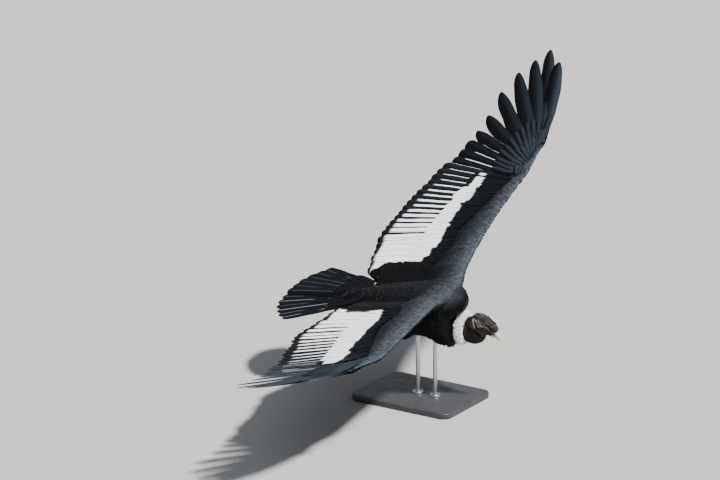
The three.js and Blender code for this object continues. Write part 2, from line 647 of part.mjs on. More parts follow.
// A wing with its flight feathers and the tiers of coverts over them
function wingSolid(wing) {
  const joints = wingJoints(wing);
  const place = wingSheet(wing);
  const { wrist, fingertip } = joints;
  const pieces = [wingCore(wing, joints, place)];
  const put = (shape) => pieces.push(vane(place, shape));

  for (let i = 0; i < SECONDARY.count; i++) {
    const f = i / (SECONDARY.count - 1);
    const length = lerp(SECONDARY.outer, SECONDARY.inner, f ** 2) + vary(5);
    const webs = { outWeb: SECONDARY.outWeb, inWeb: SECONDARY.inWeb };
    put({ ...secondaryRoot(joints, f), ...webs, length, shape: STRAIGHT });
  }
  for (let i = 1; i <= TERTIAL.count; i++)
    put({
      x: INNER_ROOT.x,
      span: INNER_ROOT.span - TERTIAL.step * i,
      turn: -1.5 - 1.2 * i,
      length: TERTIAL.length - TERTIAL.shorter * i,
      height: 2.2 * i,
      outWeb: SECONDARY.outWeb,
      inWeb: SECONDARY.inWeb - 6,
      shape: STRAIGHT,
    });
  PRIMARY_LENGTHS.forEach((length, k) => {
    const g = k / (PRIMARY_LENGTHS.length - 1);
    put({
      x: lerp(wrist.x - 8, fingertip.x - 8, g),
      span: lerp(wrist.span + 22, fingertip.span, g),
      turn: PRIMARY_FAN[k] + wing.handTurn * g,
      length,
      curl: PRIMARY.curl * g ** 2,
      bow: PRIMARY.bow * g,
      outWeb: PRIMARY.outWeb,
      inWeb: PRIMARY.inWeb,
      shape: k >= FIRST_FINGER ? FINGER : STRAIGHT,
    });
  });

  for (const tier of [GREATER_COVERT, MEDIAN_COVERT])
    for (let i = 0; i < tier.count; i++) {
      const f = (i + 0.5) / tier.count;
      const root = secondaryRoot(joints, f);
      const grown = Math.sin(Math.min(f * 1.25, 1) * Math.PI * 0.5);
      put({
        ...root,
        turn: root.turn - 3,
        length: lerp(tier.outer, tier.inner, grown) + vary(4),
        height: tier.height,
        outWeb: tier.outWeb,
        inWeb: tier.inWeb,
        shape: SHORT,
      });
    }
  for (let k = 0; k < PRIMARY_COVERT.count; k++) {
    const g = (k + 0.5) / PRIMARY_COVERT.count;
    put({
      x: lerp(wrist.x - 4, fingertip.x + 2, g),
      span: lerp(wrist.span + 20, fingertip.span - 16, g),
      turn: lerp(PRIMARY_FAN[0], PRIMARY_FAN.at(-1), g ** 1.1) + wing.handTurn * g,
      length: lerp(PRIMARY_COVERT.inner, PRIMARY_COVERT.outer, g),
      height: PRIMARY_COVERT.height,
      outWeb: PRIMARY_COVERT.outWeb,
      inWeb: PRIMARY_COVERT.inWeb,
      shape: SHORT,
    });
  }
  for (let k = 0; k < ALULA.count; k++)
    put({
      x: wrist.x + 16 - 9 * k,
      span: wrist.span + 34 - 6 * k,
      turn: 82 - 9 * k,
      length: ALULA.length - ALULA.shorter * k,
      height: ALULA.height + 1.5 * k,
      outWeb: ALULA.outWeb,
      inWeb: ALULA.inWeb,
      shape: SHORT,
    });
  const [arm, hand] = union(pieces).subtract(wristCut(joints, place)).decompose().sort(bySize);
  return { arm: arm.subtract(torsoSkin), hand };
}
for (const [name, wing] of Object.entries(WINGS)) {
  const { arm, hand } = wingSolid(wing);
  add(bird, `wing_${name}_arm`, arm, "plumage");
  add(bird, `wing_${name}_hand`, hand, "plumage");
}

// Tail, a fan of paired vanes with the middle pair on top, and the coverts over its root
const tailSheet = (side) => (x, span, height) => {
  const yaw = radians(TAIL.yaw);
  const back = x - TAIL.base;
  const y = side * span;
  const over = y * Math.sin(radians(TAIL.roll));
  return vec(
    TAIL.base + back * Math.cos(yaw) + y * Math.sin(yaw),
    -back * Math.sin(yaw) + y * Math.cos(yaw),
    TAIL.z + over + height,
  );
};
const tailVanes = [1, -1].flatMap((side) => [
  ...Array.from({ length: TAIL_VANE.pairs }, (_, i) => {
    const f = i / (TAIL_VANE.pairs - 1);
    return vane(tailSheet(side), {
      x: TAIL.base,
      span: 6 + TAIL_VANE.step * i,
      turn: lerp(2, TAIL_VANE.spread, f),
      length: TAIL_VANE.length * lerp(1, 0.8, f * f) + vary(3),
      height: side > 0 ? TAIL_LAP : 0,
      outWeb: TAIL_VANE.outWeb,
      inWeb: TAIL_VANE.inWeb,
      shape: STRAIGHT,
    });
  }),
  ...Array.from({ length: TAIL_COVERT.pairs }, (_, i) => {
    const f = i / (TAIL_COVERT.pairs - 1);
    return vane(tailSheet(side), {
      x: TAIL.base + 14,
      span: 9 + TAIL_COVERT.step * i,
      turn: lerp(2, TAIL_COVERT.spread, f),
      length: TAIL_COVERT.length * lerp(1, 0.85, f) + vary(6),
      height: TAIL_COVERT.height + (side > 0 ? TAIL_LAP : 0),
      outWeb: TAIL_COVERT.outWeb,
      inWeb: TAIL_COVERT.inWeb,
      shape: SHORT,
    });
  }),
]);
const tailRoot = body(TAIL_ROOT, { rings: 6, around: 16 });
add(bird, "tail", union([...tailVanes, tailRoot]).subtract(torsoSkin), "plumage");

// Legs and feet
const [footX, footY, footZ] = between(SHANK, 1);
// A toe, or its claw, between two distances from the ankle
const toeRows = (toe, from, to, thick) =>
  [0, 0.5, 1].map((t) => {
    const reach = lerp(from, to, t);
    const radius = lerp(thick.root, thick.tip, t);
    return [
      t,
      footX - reach * Math.cos(radians(toe.spread)),
      footY + reach * Math.sin(radians(toe.spread)),
      footZ + reach * Math.sin(radians(toe.rise)) - TOE.droop * (reach / 130) ** 2,
      radius,
      radius,
    ];
  });
for (const [name, side] of [["left", 1], ["right", -1]]) {
  const thighNet = { rings: 5, around: 12, side };
  const shankNet = { rings: 3, around: 10, side };
  const thighSkin = body(THIGH, { ...thighNet, grow: GAP });
  add(bird, `thigh_${name}`, body(THIGH, thighNet).subtract(torsoSkin), "plumage");
  add(bird, `shank_${name}`, body(SHANK, shankNet).subtract(thighSkin).subtract(torsoSkin), "scales");
  const sole = body(
    [
      [0, footX + SOLE.heel, footY, footZ - 2, SOLE.wide[0], SOLE.high[0]],
      [1, footX - SOLE.front, footY, footZ, SOLE.wide[1], SOLE.high[1]],
    ],
    { rings: 2, around: 8, side },
  );
  const toeNet = { rings: 3, around: 5, side };
  const toes = TOES.map((toe) => body(toeRows(toe, 0, toe.length, TOE), toeNet));
  const shankSkin = body(SHANK, { ...shankNet, grow: GAP });
  add(bird, `foot_${name}`, union([sole, ...toes]).subtract(shankSkin), "scales");
  TOES.forEach((toe) => {
    const rows = toeRows(toe, toe.length + GAP, toe.length + toe.claw, CLAW);
    add(bird, `claw_${name}_${toe.name}`, body(rows, { rings: 4, around: 6, side }), "claw");
  });
}

// Stand
const half = (size) => size / 2;
const plan = new THREE.Shape();
const cornerX = half(BASE.length) - BASE.bevel;
const cornerY = half(BASE.width) - BASE.bevel;
const round = BASE.corner - BASE.bevel;
plan.absarc(cornerX - round, cornerY - round, round, 0, Math.PI / 2);
plan.absarc(-cornerX + round, cornerY - round, round, Math.PI / 2, Math.PI);
plan.absarc(-cornerX + round, -cornerY + round, round, Math.PI, 1.5 * Math.PI);
plan.absarc(cornerX - round, -cornerY + round, round, 1.5 * Math.PI, 2 * Math.PI);
const basePlate = new THREE.ExtrudeGeometry(plan, {
  depth: BASE.thick - 2 * BASE.bevel,
  bevelSize: BASE.bevel,
  bevelThickness: BASE.bevel,
  bevelSegments: 1,
  curveSegments: 4,
}).translate(0, 0, BASE.bevel);
add(part, "stand_base", solidOf(basePlate), "standPaint");

const birdSkin = moved(torsoSkin, birdPlace);
for (const [name, x] of [["front", ROD.front], ["rear", ROD.rear]]) {
  const foot = BASE.thick + GAP;
  const pole = new THREE.CylinderGeometry(ROD.radius, ROD.radius, ROD.reach, 16)
    .rotateX(Math.PI / 2)
    .translate(x, 0, foot + half(ROD.reach));
  const flange = new THREE.CylinderGeometry(ROD.footRadius, ROD.footRadius, ROD.footHigh, 20)
    .rotateX(Math.PI / 2)
    .translate(x, 0, foot + half(ROD.footHigh));
  add(part, `stand_rod_${name}`, union([solidOf(pole), solidOf(flange)]).subtract(birdSkin), "steel");
}

export default part;
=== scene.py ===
# %% [markdown]
# # A life-size Andean condor, banking, on a museum stand
# The bird is dressed in this script: one skin lies under the plumage, and every feather is a thin
# solid plate over it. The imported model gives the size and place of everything, so the same named
# lengths are used here as in the model's own source, in millimetres in the bird's own frame.

# %% Load the frame and keep its box
import math

import bmesh
import bpy
import numpy as np
from mathutils import Matrix, Vector, kdtree, noise


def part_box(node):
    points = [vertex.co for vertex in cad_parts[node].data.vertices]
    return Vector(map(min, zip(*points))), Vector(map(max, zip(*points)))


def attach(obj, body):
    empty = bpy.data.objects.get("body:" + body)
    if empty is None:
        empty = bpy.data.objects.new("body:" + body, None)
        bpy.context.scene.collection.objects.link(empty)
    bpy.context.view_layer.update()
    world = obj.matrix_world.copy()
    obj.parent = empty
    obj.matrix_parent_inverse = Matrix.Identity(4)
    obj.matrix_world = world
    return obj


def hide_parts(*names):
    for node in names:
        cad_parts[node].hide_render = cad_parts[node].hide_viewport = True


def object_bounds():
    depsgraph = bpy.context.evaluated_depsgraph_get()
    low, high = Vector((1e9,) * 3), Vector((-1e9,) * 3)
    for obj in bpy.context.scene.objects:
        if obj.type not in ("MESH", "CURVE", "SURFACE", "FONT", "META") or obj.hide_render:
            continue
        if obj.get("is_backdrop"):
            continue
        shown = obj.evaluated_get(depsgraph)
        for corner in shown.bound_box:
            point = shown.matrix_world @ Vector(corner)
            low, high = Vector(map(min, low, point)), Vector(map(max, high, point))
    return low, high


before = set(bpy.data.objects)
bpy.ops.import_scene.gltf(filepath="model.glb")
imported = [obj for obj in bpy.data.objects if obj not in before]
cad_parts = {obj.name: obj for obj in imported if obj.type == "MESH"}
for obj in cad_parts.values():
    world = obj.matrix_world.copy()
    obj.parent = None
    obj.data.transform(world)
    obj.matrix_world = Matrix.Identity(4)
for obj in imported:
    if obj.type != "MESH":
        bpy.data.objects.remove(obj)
cad_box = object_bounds()
print("nodes in the frame:", len(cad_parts))

# %% [markdown]
# ## Where the bird hangs
# The bird's own frame has +X forward along the spine, +Y to its left and +Z to its back. One matrix
# takes millimetres in that frame to metres in the room: the bird is banked, then its nose is lifted.

# %% The bird's frame
BANK, PITCH = 16.3, 11.4
TURN = Matrix.Rotation(math.radians(-PITCH), 4, "Y") @ Matrix.Rotation(math.radians(BANK), 4, "X")
BIRD = Matrix.Translation((0.110, 0, 0.490)) @ TURN @ Matrix.Scale(0.001, 4)
HEAD = Matrix.Translation((127, 0, -171)) @ Matrix.Rotation(math.radians(41), 4, "Y")
RUFF = Matrix.Translation((36, 0, -181)) @ Matrix.Rotation(math.radians(13), 4, "Y")
ROUND = 2 * math.pi
rng = np.random.default_rng(11)


def moved(points, matrix):
    """Points taken from one frame to another."""
    whole = np.array(matrix)
    return np.asarray(points) @ whole[:3, :3].T + whole[:3, 3]


def blend(a, b, t):
    return a + (b - a) * t


def ease(value, low, high):
    """0 up to low, 1 from high, and a soft step between."""
    t = np.clip((value - low) / (high - low), 0, 1)
    return t * t * (3 - 2 * t)


def unit(vectors):
    return vectors / np.maximum(np.linalg.norm(vectors, axis=-1, keepdims=True), 1e-9)


def between(rows, at):
    """Values between the rows of a small table, along a smooth curve. The first column is the place."""
    table = np.array(rows, float)
    at = np.asarray(at, float)
    i = np.clip(np.searchsorted(table[:, 0], at), 1, len(table) - 1)
    a, b = table[i - 1], table[i]
    before, after = table[np.maximum(i - 2, 0)], table[np.minimum(i + 1, len(table) - 1)]
    step = b[..., :1] - a[..., :1]
    t = np.clip((at[..., None] - a[..., :1]) / step, 0, 1)
    slope_a = (b - before) / np.maximum(b[..., :1] - before[..., :1], 1e-9) * step
    slope_b = (after - a) / np.maximum(after[..., :1] - a[..., :1], 1e-9) * step
    value = (2 * t**3 - 3 * t**2 + 1) * a + (t**3 - 2 * t**2 + t) * slope_a
    value = value + (3 * t**2 - 2 * t**3) * b + (t**3 - t**2) * slope_b
    return value[..., 1:]


def heading(rows, t, step=0.02):
    """Which way the middle line of a form runs."""
    return unit((between(rows, np.minimum(t + step, 1)) - between(rows, np.maximum(t - step, 0)))[..., :3])


print("the shoulders are", round(BIRD.translation.z * 1000), "mm up")

# %% [markdown]
# ## The named sizes of body, head and legs
# Each table is a row of stations along one rounded form: place along it, middle, half width and half
# height. A live bird is about this size: nearly three metres across, a tail of forty centimetres.

# %% Tables of the rounded forms
TORSO = [
    [0, 88, 0, -62, 12, 10], [0.05, 80, 0, -66, 38, 28], [0.12, 60, 0, -58, 70, 46],
    [0.2, 36, 0, -54, 92, 58], [0.27, 18, 0, -66, 106, 80], [0.33, 2, 0, -100, 117, 120],
    [0.39, -20, 0, -109, 126, 133], [0.55, -100, 0, -87, 137, 114], [0.72, -205, 0, -76, 124, 103],
    [0.87, -315, 0, -50, 96, 72], [1, -415, 0, -24, 66, 38],
]
NECK = [
    [0, -20, 0, -160, 44, 46], [0.4, 40, 0, -188, 42, 48],
    [0.7, 78, 0, -203, 40, 54], [1, 106, 0, -192, 32, 42],
]
SKULL = [
    [0, -50, 0, -6, 16, 16], [0.1, -44, 0, -5, 25, 25], [0.35, -16, 0, -1, 33, 31],
    [0.6, 14, 0, 0, 30, 30], [0.82, 38, 0, -2, 20, 24], [1, 52, 0, -3, 14, 18],
]
NAPE = [[0, -54, 0, -27, 24, 21], [0.5, -42, 0, -17, 27, 23], [1, -24, 0, -6, 29, 26]]
THROAT = [[0, -22, 0, -26, 12, 12], [0.5, 8, 0, -34, 20, 24], [1, 36, 0, -22, 11, 9]]
UPPER_BILL = [
    [0, 36, 0, 2, 13, 13], [0.35, 58, 0, 3, 12.5, 12.5], [0.62, 76, 0, -1, 11, 11.5],
    [0.82, 86, 0, -11, 8, 8.5], [1, 84, 0, -25, 2.2, 2.4],
]
LOWER_BILL = [[0, 30, 0, -16, 13, 8], [0.5, 56, 0, -17, 10.5, 7], [1, 75, 0, -18, 5, 4]]
THIGH = [
    [0, -166, 66, -140, 38, 33], [0.4, -210, 68, -142, 42, 38],
    [0.8, -290, 62, -132, 26, 26], [1, -318, 60, -126, 15, 15],
]
SHANK = [[0, -300, 60, -130, 12, 12], [0.5, -362, 57, -112, 9.5, 9.5], [1, -424, 54, -94, 11, 10]]
NECK_ROOT = [[0, -60, 0, -150, 50, 50], [1, 34, 0, -182, 42, 44]]
TAIL_ROOT = [[0, -370, 0, -26, 60, 30], [0.5, -440, 0, -18, 70, 20], [1, -510, 0, -12, 40, 6]]
EYE = Vector((22, 22, 9))
EYE_RADIUS = 6.6


def tube_points(rows, along, turn, grow=0.0, side=1, upright=False):
    """Points on a rounded form: along it from 0 to 1, and round it as an angle in radians."""
    along, turn = np.broadcast_arrays(np.asarray(along, float), np.asarray(turn, float))
    middle, ahead = between(rows, along), heading(rows, along)
    if upright:
        ahead = np.stack([np.sign(ahead[..., 0]), 0 * along, 0 * along], -1)
    across = np.zeros_like(ahead)
    across[..., 1] = 1 if rows[-1][1] >= rows[0][1] else -1
    over = unit(np.cross(ahead, across))
    point = middle[..., :3] + across * (np.cos(turn) * (middle[..., 3] + grow))[..., None]
    return (point + over * (np.sin(turn) * (middle[..., 4] + grow))[..., None]) * [1, side, 1]


def tube(rows, **how):
    """A rounded form as a function of along and turn alone."""
    return lambda along, turn: tube_points(rows, along, turn, **how)


def swelled(rows, t, turn, share, **how):
    """A rounded form whose girth is changed by share, place by place."""
    middle = between(rows, t)[..., :3] * [1, how.get("side", 1), 1]
    return middle + (tube_points(rows, t, turn, **how) - middle) * share[:, None]


print("torso length", TORSO[0][1] - TORSO[-1][1], "mm")

# %% [markdown]
# ## Turning grids into rounded forms
# A rounded form starts as a flat grid. The grid is rolled into a tube by moving its points to the
# table's stations, its seam is merged and its ends are filled. This keeps every form closed.

# %% Helpers for forms and pieces
def points_of(verts):
    return np.array([vert.co[:] for vert in verts])


def rolled(bm, point_of, around, along, place=Matrix.Identity(4)):
    """Adds a tube to bm: point_of(along, turn) gives its points in millimetres."""
    made = bmesh.ops.create_grid(bm, x_segments=around, y_segments=along, size=0.5)["verts"]
    flat = points_of(made) + 0.5
    spots = moved(point_of(flat[:, 1], flat[:, 0] * ROUND), BIRD @ place)
    for vert, spot in zip(made, spots):
        vert.co = spot
    bmesh.ops.remove_doubles(bm, verts=made, dist=2e-5)
    rims = [edge for edge in bm.edges if edge.is_boundary]
    bmesh.ops.holes_fill(bm, edges=rims, sides=around + 2)
    bmesh.ops.recalc_face_normals(bm, faces=bm.faces[:])


def mesh_from(bm, name):
    """A smooth mesh of what is in bm, which is then freed."""
    mesh = bpy.data.meshes.new(name)
    bm.to_mesh(mesh)
    bm.free()
    mesh.polygons.foreach_set("use_smooth", [True] * len(mesh.polygons))
    return mesh


def store(mesh, **numbers):
    """Keeps numbers on a mesh's points, for its material to read."""
    for key, values in numbers.items():
        spots = mesh.attributes.new(key, "FLOAT", "POINT")
        spots.data.foreach_set("value", np.asarray(values, np.float32))


def in_room(name, data):
    made = bpy.data.objects.new(name, data)
    bpy.context.scene.collection.objects.link(made)
    return made


def new_piece(name, mesh, finish, slot, *replaced):
    """Puts a finished mesh in the room with its material and its body, and hides the nodes it stands for."""
    piece = in_room(name, mesh)
    mesh.materials.append(finish.material)
    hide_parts(*replaced)
    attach(piece, "root")
    return piece


def rolled_piece(name, point_of, around, along, finish, slot, node, place=Matrix.Identity(4)):
    """A piece of one rolled tube."""
    bm = bmesh.new()
    rolled(bm, point_of, around, along, place)
    return new_piece(name, mesh_from(bm, name), finish, slot, node)


def melted(bm, voxel):
    """One closed skin over everything in bm, as a Remesh modifier leaves it, then eased twice."""
    form = in_room("forms", mesh_from(bm, "forms"))
    remesh = form.modifiers.new("melt", "REMESH")
    remesh.mode = "VOXEL"
    remesh.voxel_size = voxel
    whole = form.evaluated_get(bpy.context.evaluated_depsgraph_get())
    skin = bmesh.new()
    skin.from_mesh(whole.to_mesh())
    whole.to_mesh_clear()
    mesh = form.data
    bpy.data.objects.remove(form)
    bpy.data.meshes.remove(mesh)
    axes = dict(use_axis_x=True, use_axis_y=True, use_axis_z=True)
    for _ in range(2):
        bmesh.ops.smooth_vert(skin, verts=skin.verts[:], factor=0.5, **axes)
    print("melted at", voxel * 1000, "mm:", len(skin.faces), "faces")
    return skin


# %% [markdown]
# ## The sheet a wing lies on
# A spread wing is nearly a flat sheet that bends up along the span. Feathers are laid out flat on it
# with a place back from the wrist, a place along the span and a height, and the sheet carries them up.

# %% Wings, their bones and the sheet
SHOULDER_SPAN, WRIST_SPAN, HUMERUS, ULNA, HAND_BONES, HAND_LEAN = 100, 634, 270, 310, 236, 6.5
INNER_ROOT = (-62, 168)
ULNA_SHARE, SHOULDER_FRONT, WRIST_FRONT, ROOT_RISE = 0.68, 52, 42, 18
WINGS = {
    "left": dict(side=1, wrist_x=90, lead_power=1.9, arm=16, hand=14, curl=14, twist=0, hand_turn=1),
    "right": dict(side=-1, wrist_x=22, lead_power=1.2, arm=4, hand=22.5, curl=0, twist=1, hand_turn=9),
}
SECONDARY = dict(count=20, outer=428, inner=388, fan=17)
TERTIAL = dict(count=4, step=14, length=392, shorter=24)
PRIMARY_LENGTHS = [404, 402, 404, 408, 434, 506, 544, 550, 554, 442]
PRIMARY_FAN = [21, 25, 29.5, 35.5, 44, 54, 63.5, 71.5, 78.5, 85]
FIRST_FINGER = 3
SHINGLE = 0.08  # how much each vane tips, its outer web up, so that it overlaps the next


class Wing:
    """One wing: its joints, its leading edge and the sheet its feathers lie on."""

    def __init__(self, hold):
        self.hold = hold
        self.wrist = np.array([hold["wrist_x"], WRIST_SPAN], float)
        reach_x, reach_span = self.wrist[0], WRIST_SPAN - SHOULDER_SPAN
        reach = math.hypot(reach_x, reach_span)
        along = (HUMERUS**2 - ULNA**2 + reach**2) / (2 * reach)
        behind = math.sqrt(HUMERUS**2 - along**2)
        dx, ds = reach_x / reach, reach_span / reach
        self.elbow = np.array([along * dx - behind * ds, SHOULDER_SPAN + along * ds + behind * dx])
        lean = math.radians(HAND_LEAN + hold["hand_turn"])
        self.fingertip = self.wrist + HAND_BONES * np.array([math.sin(lean), math.cos(lean)])
        self.spans = np.arange(0, 1701, 10.0)
        angle = self.rise(self.spans[:-1] + 5)
        self.out = np.concatenate([[0], np.cumsum(10 * np.cos(angle))])
        self.up = -14 + np.concatenate([[0], np.cumsum(10 * np.sin(angle))])
        # span, chord, half thickness above and its share below, along the flesh of arm and hand
        self.sections = [
            [40, 196, 46, 1], [130, 192, 34, 1], [200, 188, 26, 0.9], [330, 184, 20, 0.8],
            [450, 172, 18, 0.8], [WRIST_SPAN - 60, 140, 17, 0.8], [WRIST_SPAN + 30, 92, 15, 0.8],
            [WRIST_SPAN + 120, 58, 9, 0.8], [self.fingertip[1] + 24, 22, 3.5, 0.8],
        ]

    def rise(self, span):
        """How steeply the sheet climbs at a place along the span."""
        hold = self.hold
        root = ROOT_RISE * ease(span, 50, 90) * (1 - ease(span, 120, 170))
        hand = (hold["hand"] - hold["arm"]) * ease(span, WRIST_SPAN - 90, WRIST_SPAN + 50)
        curl = hold["curl"] * np.clip((span - WRIST_SPAN) / 800, 0, 1.1) ** 2
        return np.radians(hold["arm"] * ease(span, 50, 110) + root + hand + curl)

    def place(self, x, span, height):
        """Points of the sheet in the bird's frame."""
        x, span, height = np.broadcast_arrays(x, span, height)
        angle = self.rise(span)
        twist = np.radians(self.hold["twist"] * ease(span, 100, 260))
        forward = x * np.cos(twist) - height * np.sin(twist)
        over = x * np.sin(twist) + height * np.cos(twist)
        y = np.interp(span, self.spans, self.out) - over * np.sin(angle)
        z = np.interp(span, self.spans, self.up) + over * np.cos(angle)
        return np.stack([forward, self.hold["side"] * y, z], -1)

    def front(self, span):
        """Leading edge of the flat wing."""
        lead, edge = self.wrist[0] + WRIST_FRONT, WRIST_SPAN + 45
        t = np.clip((span - SHOULDER_SPAN) / (edge - SHOULDER_SPAN), 0, 1)
        inner = blend(SHOULDER_FRONT, lead, t ** self.hold["lead_power"])
        t = np.clip((span - edge) / (self.fingertip[1] + 20 - edge), 0, 1)
        return np.where(span <= edge, inner, blend(lead, self.fingertip[0] + 14, t * t * 0.6 + t * 0.4))

    def core(self, span, turn, grow=0.0):
        """Flesh of arm and hand: turn runs round the section from the leading edge over the top."""
        chord, thick, under = np.moveaxis(between(self.sections, span), -1, 0)
        back = (1 - np.cos(turn)) / 2
        swell = np.maximum(2.1 * np.sqrt(np.maximum(back, 0)) * (1 - back), 0.1)
        high = (thick + grow) * swell * np.where(np.sin(turn) > 0, 1, -under)
        return self.place(self.front(span) + grow - (chord + grow) * back, span, high)

    def secondary_root(self, f):
        """Root and angle of a feather on the arm, from 0 at the wrist to 1 at the body."""
        on_ulna = np.minimum(f / ULNA_SHARE, 1)
        inward = max(f - ULNA_SHARE, 0) / (1 - ULNA_SHARE)
        x = blend(blend(self.wrist[0] - 12, self.elbow[0] - 6, on_ulna), INNER_ROOT[0], inward)
        span = blend(blend(WRIST_SPAN + 6, self.elbow[1], on_ulna), INNER_ROOT[1], inward)
        return x, span, SECONDARY["fan"] * (1 - f) ** 1.6 - 1.5 * f

    def hand_root(self, g, from_wrist, from_tip):
        """Root of a feather on the hand, from 0 near the wrist to 1 near the fingertip."""
        return blend(self.wrist + from_wrist, self.fingertip + from_tip, g)


wings = {name: Wing(hold) for name, hold in WINGS.items()}
for name, wing in wings.items():
    print(name, "elbow", wing.elbow.round(), "fingertip", wing.fingertip.round())

# %% [markdown]
# ## Shader parts
# Natural surfaces are never one flat colour, so every finish here is a pattern built from nodes. A
# small class lets the output of a node be added, multiplied and mixed in plain sums, and a finish
# holds a material with its shader.

# %% Wires and finishes
def feed(socket, value):
    """Gives a socket a wire, a number or a colour."""
    if isinstance(value, Wire):
        socket.id_data.links.new(value.socket, socket)
    elif socket.type == "RGBA":
        socket.default_value = (*value, 1)
    else:
        socket.default_value = value


def new_node(owner, kind, inputs=(), out=0, **settings):
    """Adds a node, feeds its inputs by name or place, and gives one output as a wire."""
    made = owner.nodes.new(kind)
    for key, value in settings.items():
        setattr(made, key, value)
    for key, value in dict(inputs).items():
        feed(made.inputs[key], value)
    return Wire(made.outputs[out])


class Wire:
    """An output of a node, which adds, subtracts and multiplies like a number."""

    def __init__(self, socket):
        self.socket = socket

    def math(self, operation, *values):
        return new_node(self.socket.id_data, "ShaderNodeMath", enumerate(values), operation=operation)

    def __add__(self, other):
        return self.math("ADD", self, other)

    def __sub__(self, other):
        return self.math("SUBTRACT", self, other)

    def __rsub__(self, other):
        return self.math("SUBTRACT", other, self)

    def __mul__(self, other):
        return self.math("MULTIPLY", self, other)

    def __abs__(self):
        return self.math("ABSOLUTE", self)

    def band(self, low, high):
        """0 below low, 1 above high, softly."""
        inputs = enumerate((self, low, high))
        return new_node(self.socket.id_data, "ShaderNodeMapRange", inputs, interpolation_type="SMOOTHSTEP")

    def mix(self, low, high):
        """The colour low where the wire is 0, and high where it is 1."""
        inputs = {0: self, 6: low, 7: high}
        return new_node(self.socket.id_data, "ShaderNodeMix", inputs, out=2, data_type="RGBA")


def read(owner, *names):
    """Numbers stored on the mesh's points."""
    return [new_node(owner, "ShaderNodeAttribute", out="Fac", attribute_name=name) for name in names]


def object_place(owner):
    return new_node(owner, "ShaderNodeTexCoord", out="Object")


class Finish:
    """A material whose Principled shader has its plain values on its own sockets."""

    def __init__(self, name, base, roughness, **sockets):
        self.material = bpy.data.materials.new(name)
        self.material.use_nodes = True
        self.nodes = self.material.node_tree.nodes
        self.set(Base_Color=base, Roughness=roughness, **sockets)

    def set(self, **sockets):
        for key, value in sockets.items():
            feed(self.nodes["Principled BSDF"].inputs[key.replace("_", " ")], value)

    def bump(self, height, strength, distance):
        inputs = dict(Strength=strength, Distance=distance, Height=height)
        self.set(Normal=new_node(self, "ShaderNodeBump", inputs))

    def pattern(self, group, **values):
        """The outputs of a shared group, placed in this material with its own values."""
        first = new_node(self, "ShaderNodeGroup", values, node_tree=group)
        return [Wire(socket) for socket in first.socket.node.outputs]

    def mottled(self, scale, detail=4.0):
        return self.pattern(mottle, Scale=scale, Detail=detail)[0]


def new_group(name, results, **numbers):
    """A shared group, with plain numbers for its named inputs and outputs."""
    group = bpy.data.node_groups.new(name, "ShaderNodeTree")
    for key, value in numbers.items():
        made = group.interface.new_socket(key, in_out="INPUT", socket_type="NodeSocketFloat")
        made.default_value = value
    for key in results:
        group.interface.new_socket(key, in_out="OUTPUT", socket_type="NodeSocketFloat")
    inside, outside = group.nodes.new("NodeGroupInput"), group.nodes.new("NodeGroupOutput")
    return group, [Wire(socket) for socket in inside.outputs[:len(numbers)]], outside.inputs


# %% [markdown]
# Three effects are used by more than one material, so each is a node group: a soft mottling, small
# cells for cracked or scaly skin, and the fine slanted barbs of a feather with its shaft.

# %% The shared groups
mottle, (scale, detail), out = new_group("mottle", ["Value"], Scale=40.0, Detail=4.0)
inputs = {"Vector": object_place(mottle), "Scale": scale, "Detail": detail}
feed(out[0], new_node(mottle, "ShaderNodeTexNoise", inputs))

cells, (scale,), out = new_group("cells", ["Value"], Scale=400.0)
feed(out[0], new_node(cells, "ShaderNodeTexVoronoi", {"Vector": object_place(cells), "Scale": scale}))

barbs, (count, slant), out = new_group("barbs", ["Lines", "Height"], Count=400.0, Slant=0.16)
across, along, seed = read(barbs, "across", "along", "seed")
slanted = along - abs(across) * slant
spread = new_node(barbs, "ShaderNodeCombineXYZ", {"X": across, "Y": slanted, "Z": seed * 37.0})
rough = new_node(barbs, "ShaderNodeTexNoise", {"Vector": spread, "Scale": 24.0, "Detail": 3.0})
wave = slanted * count
lines = wave.math("SINE", wave) * 0.18 + rough
feed(out[0], lines)
feed(out[1], lines * 0.35 + (1.0 - abs(across).band(0.03, 0.09)))
print("shader groups:", [group.name for group in bpy.data.node_groups])

# %% [markdown]
# ## Feather finishes
# The upper side of the inner wing is white, feather by feather: whole inner vanes, then outer webs
# only, then thin streaks out towards the wrist. Each vane carries numbers on its points for how far
# its white reaches across it and where its dark tip begins, and the shader draws the edge between.

# %% Flight feather finish
BLACK = (0.006, 0.006, 0.007)
vane_finish = Finish("flight_feather", BLACK, 0.55, Specular_IOR_Level=0.06)
lines, height = vane_finish.pattern(barbs)
across, along, upper = read(vane_finish, "across", "along", "upper")
web, tip, base, pale, sheen, shine = read(vane_finish, "web", "tip", "base", "pale", "sheen", "shine")
wobble = (lines - 0.5) * 0.16
white = (across - web + wobble).band(-0.05, 0.07) * (tip - along + wobble * 0.45).band(-0.012, 0.012)
white = white * (along - base + wobble * 0.5).band(-0.02, 0.02) * upper * pale
dark = lines.mix((0.0008, 0.0009, 0.0012), (0.0036, 0.0040, 0.0052))
# painted sheen: a blue-grey reflection painted on the outer webs, as strong as a number stored on each
# feather
dark = (across.band(-0.7, 0.5) * sheen).mix(dark, (0.021, 0.030, 0.039))
tint = white.mix(dark, lines.mix((0.72, 0.74, 0.76), (0.92, 0.935, 0.95)))
quill = 1.0 - abs(across).band(0.03, 0.075)
tint = (quill * 0.5).mix(tint, (0.016, 0.015, 0.015))
# painted highlight: silvery lines of light along the shafts, as strong as a number stored on each feather
tint = (quill * shine).mix(tint, (0.30, 0.33, 0.37))
vane_finish.set(Base_Color=tint, Roughness=lines.band(-1.4, 2.0))
vane_finish.bump(height, 0.22, 0.0006)
print("flight feather nodes:", len(vane_finish.nodes))

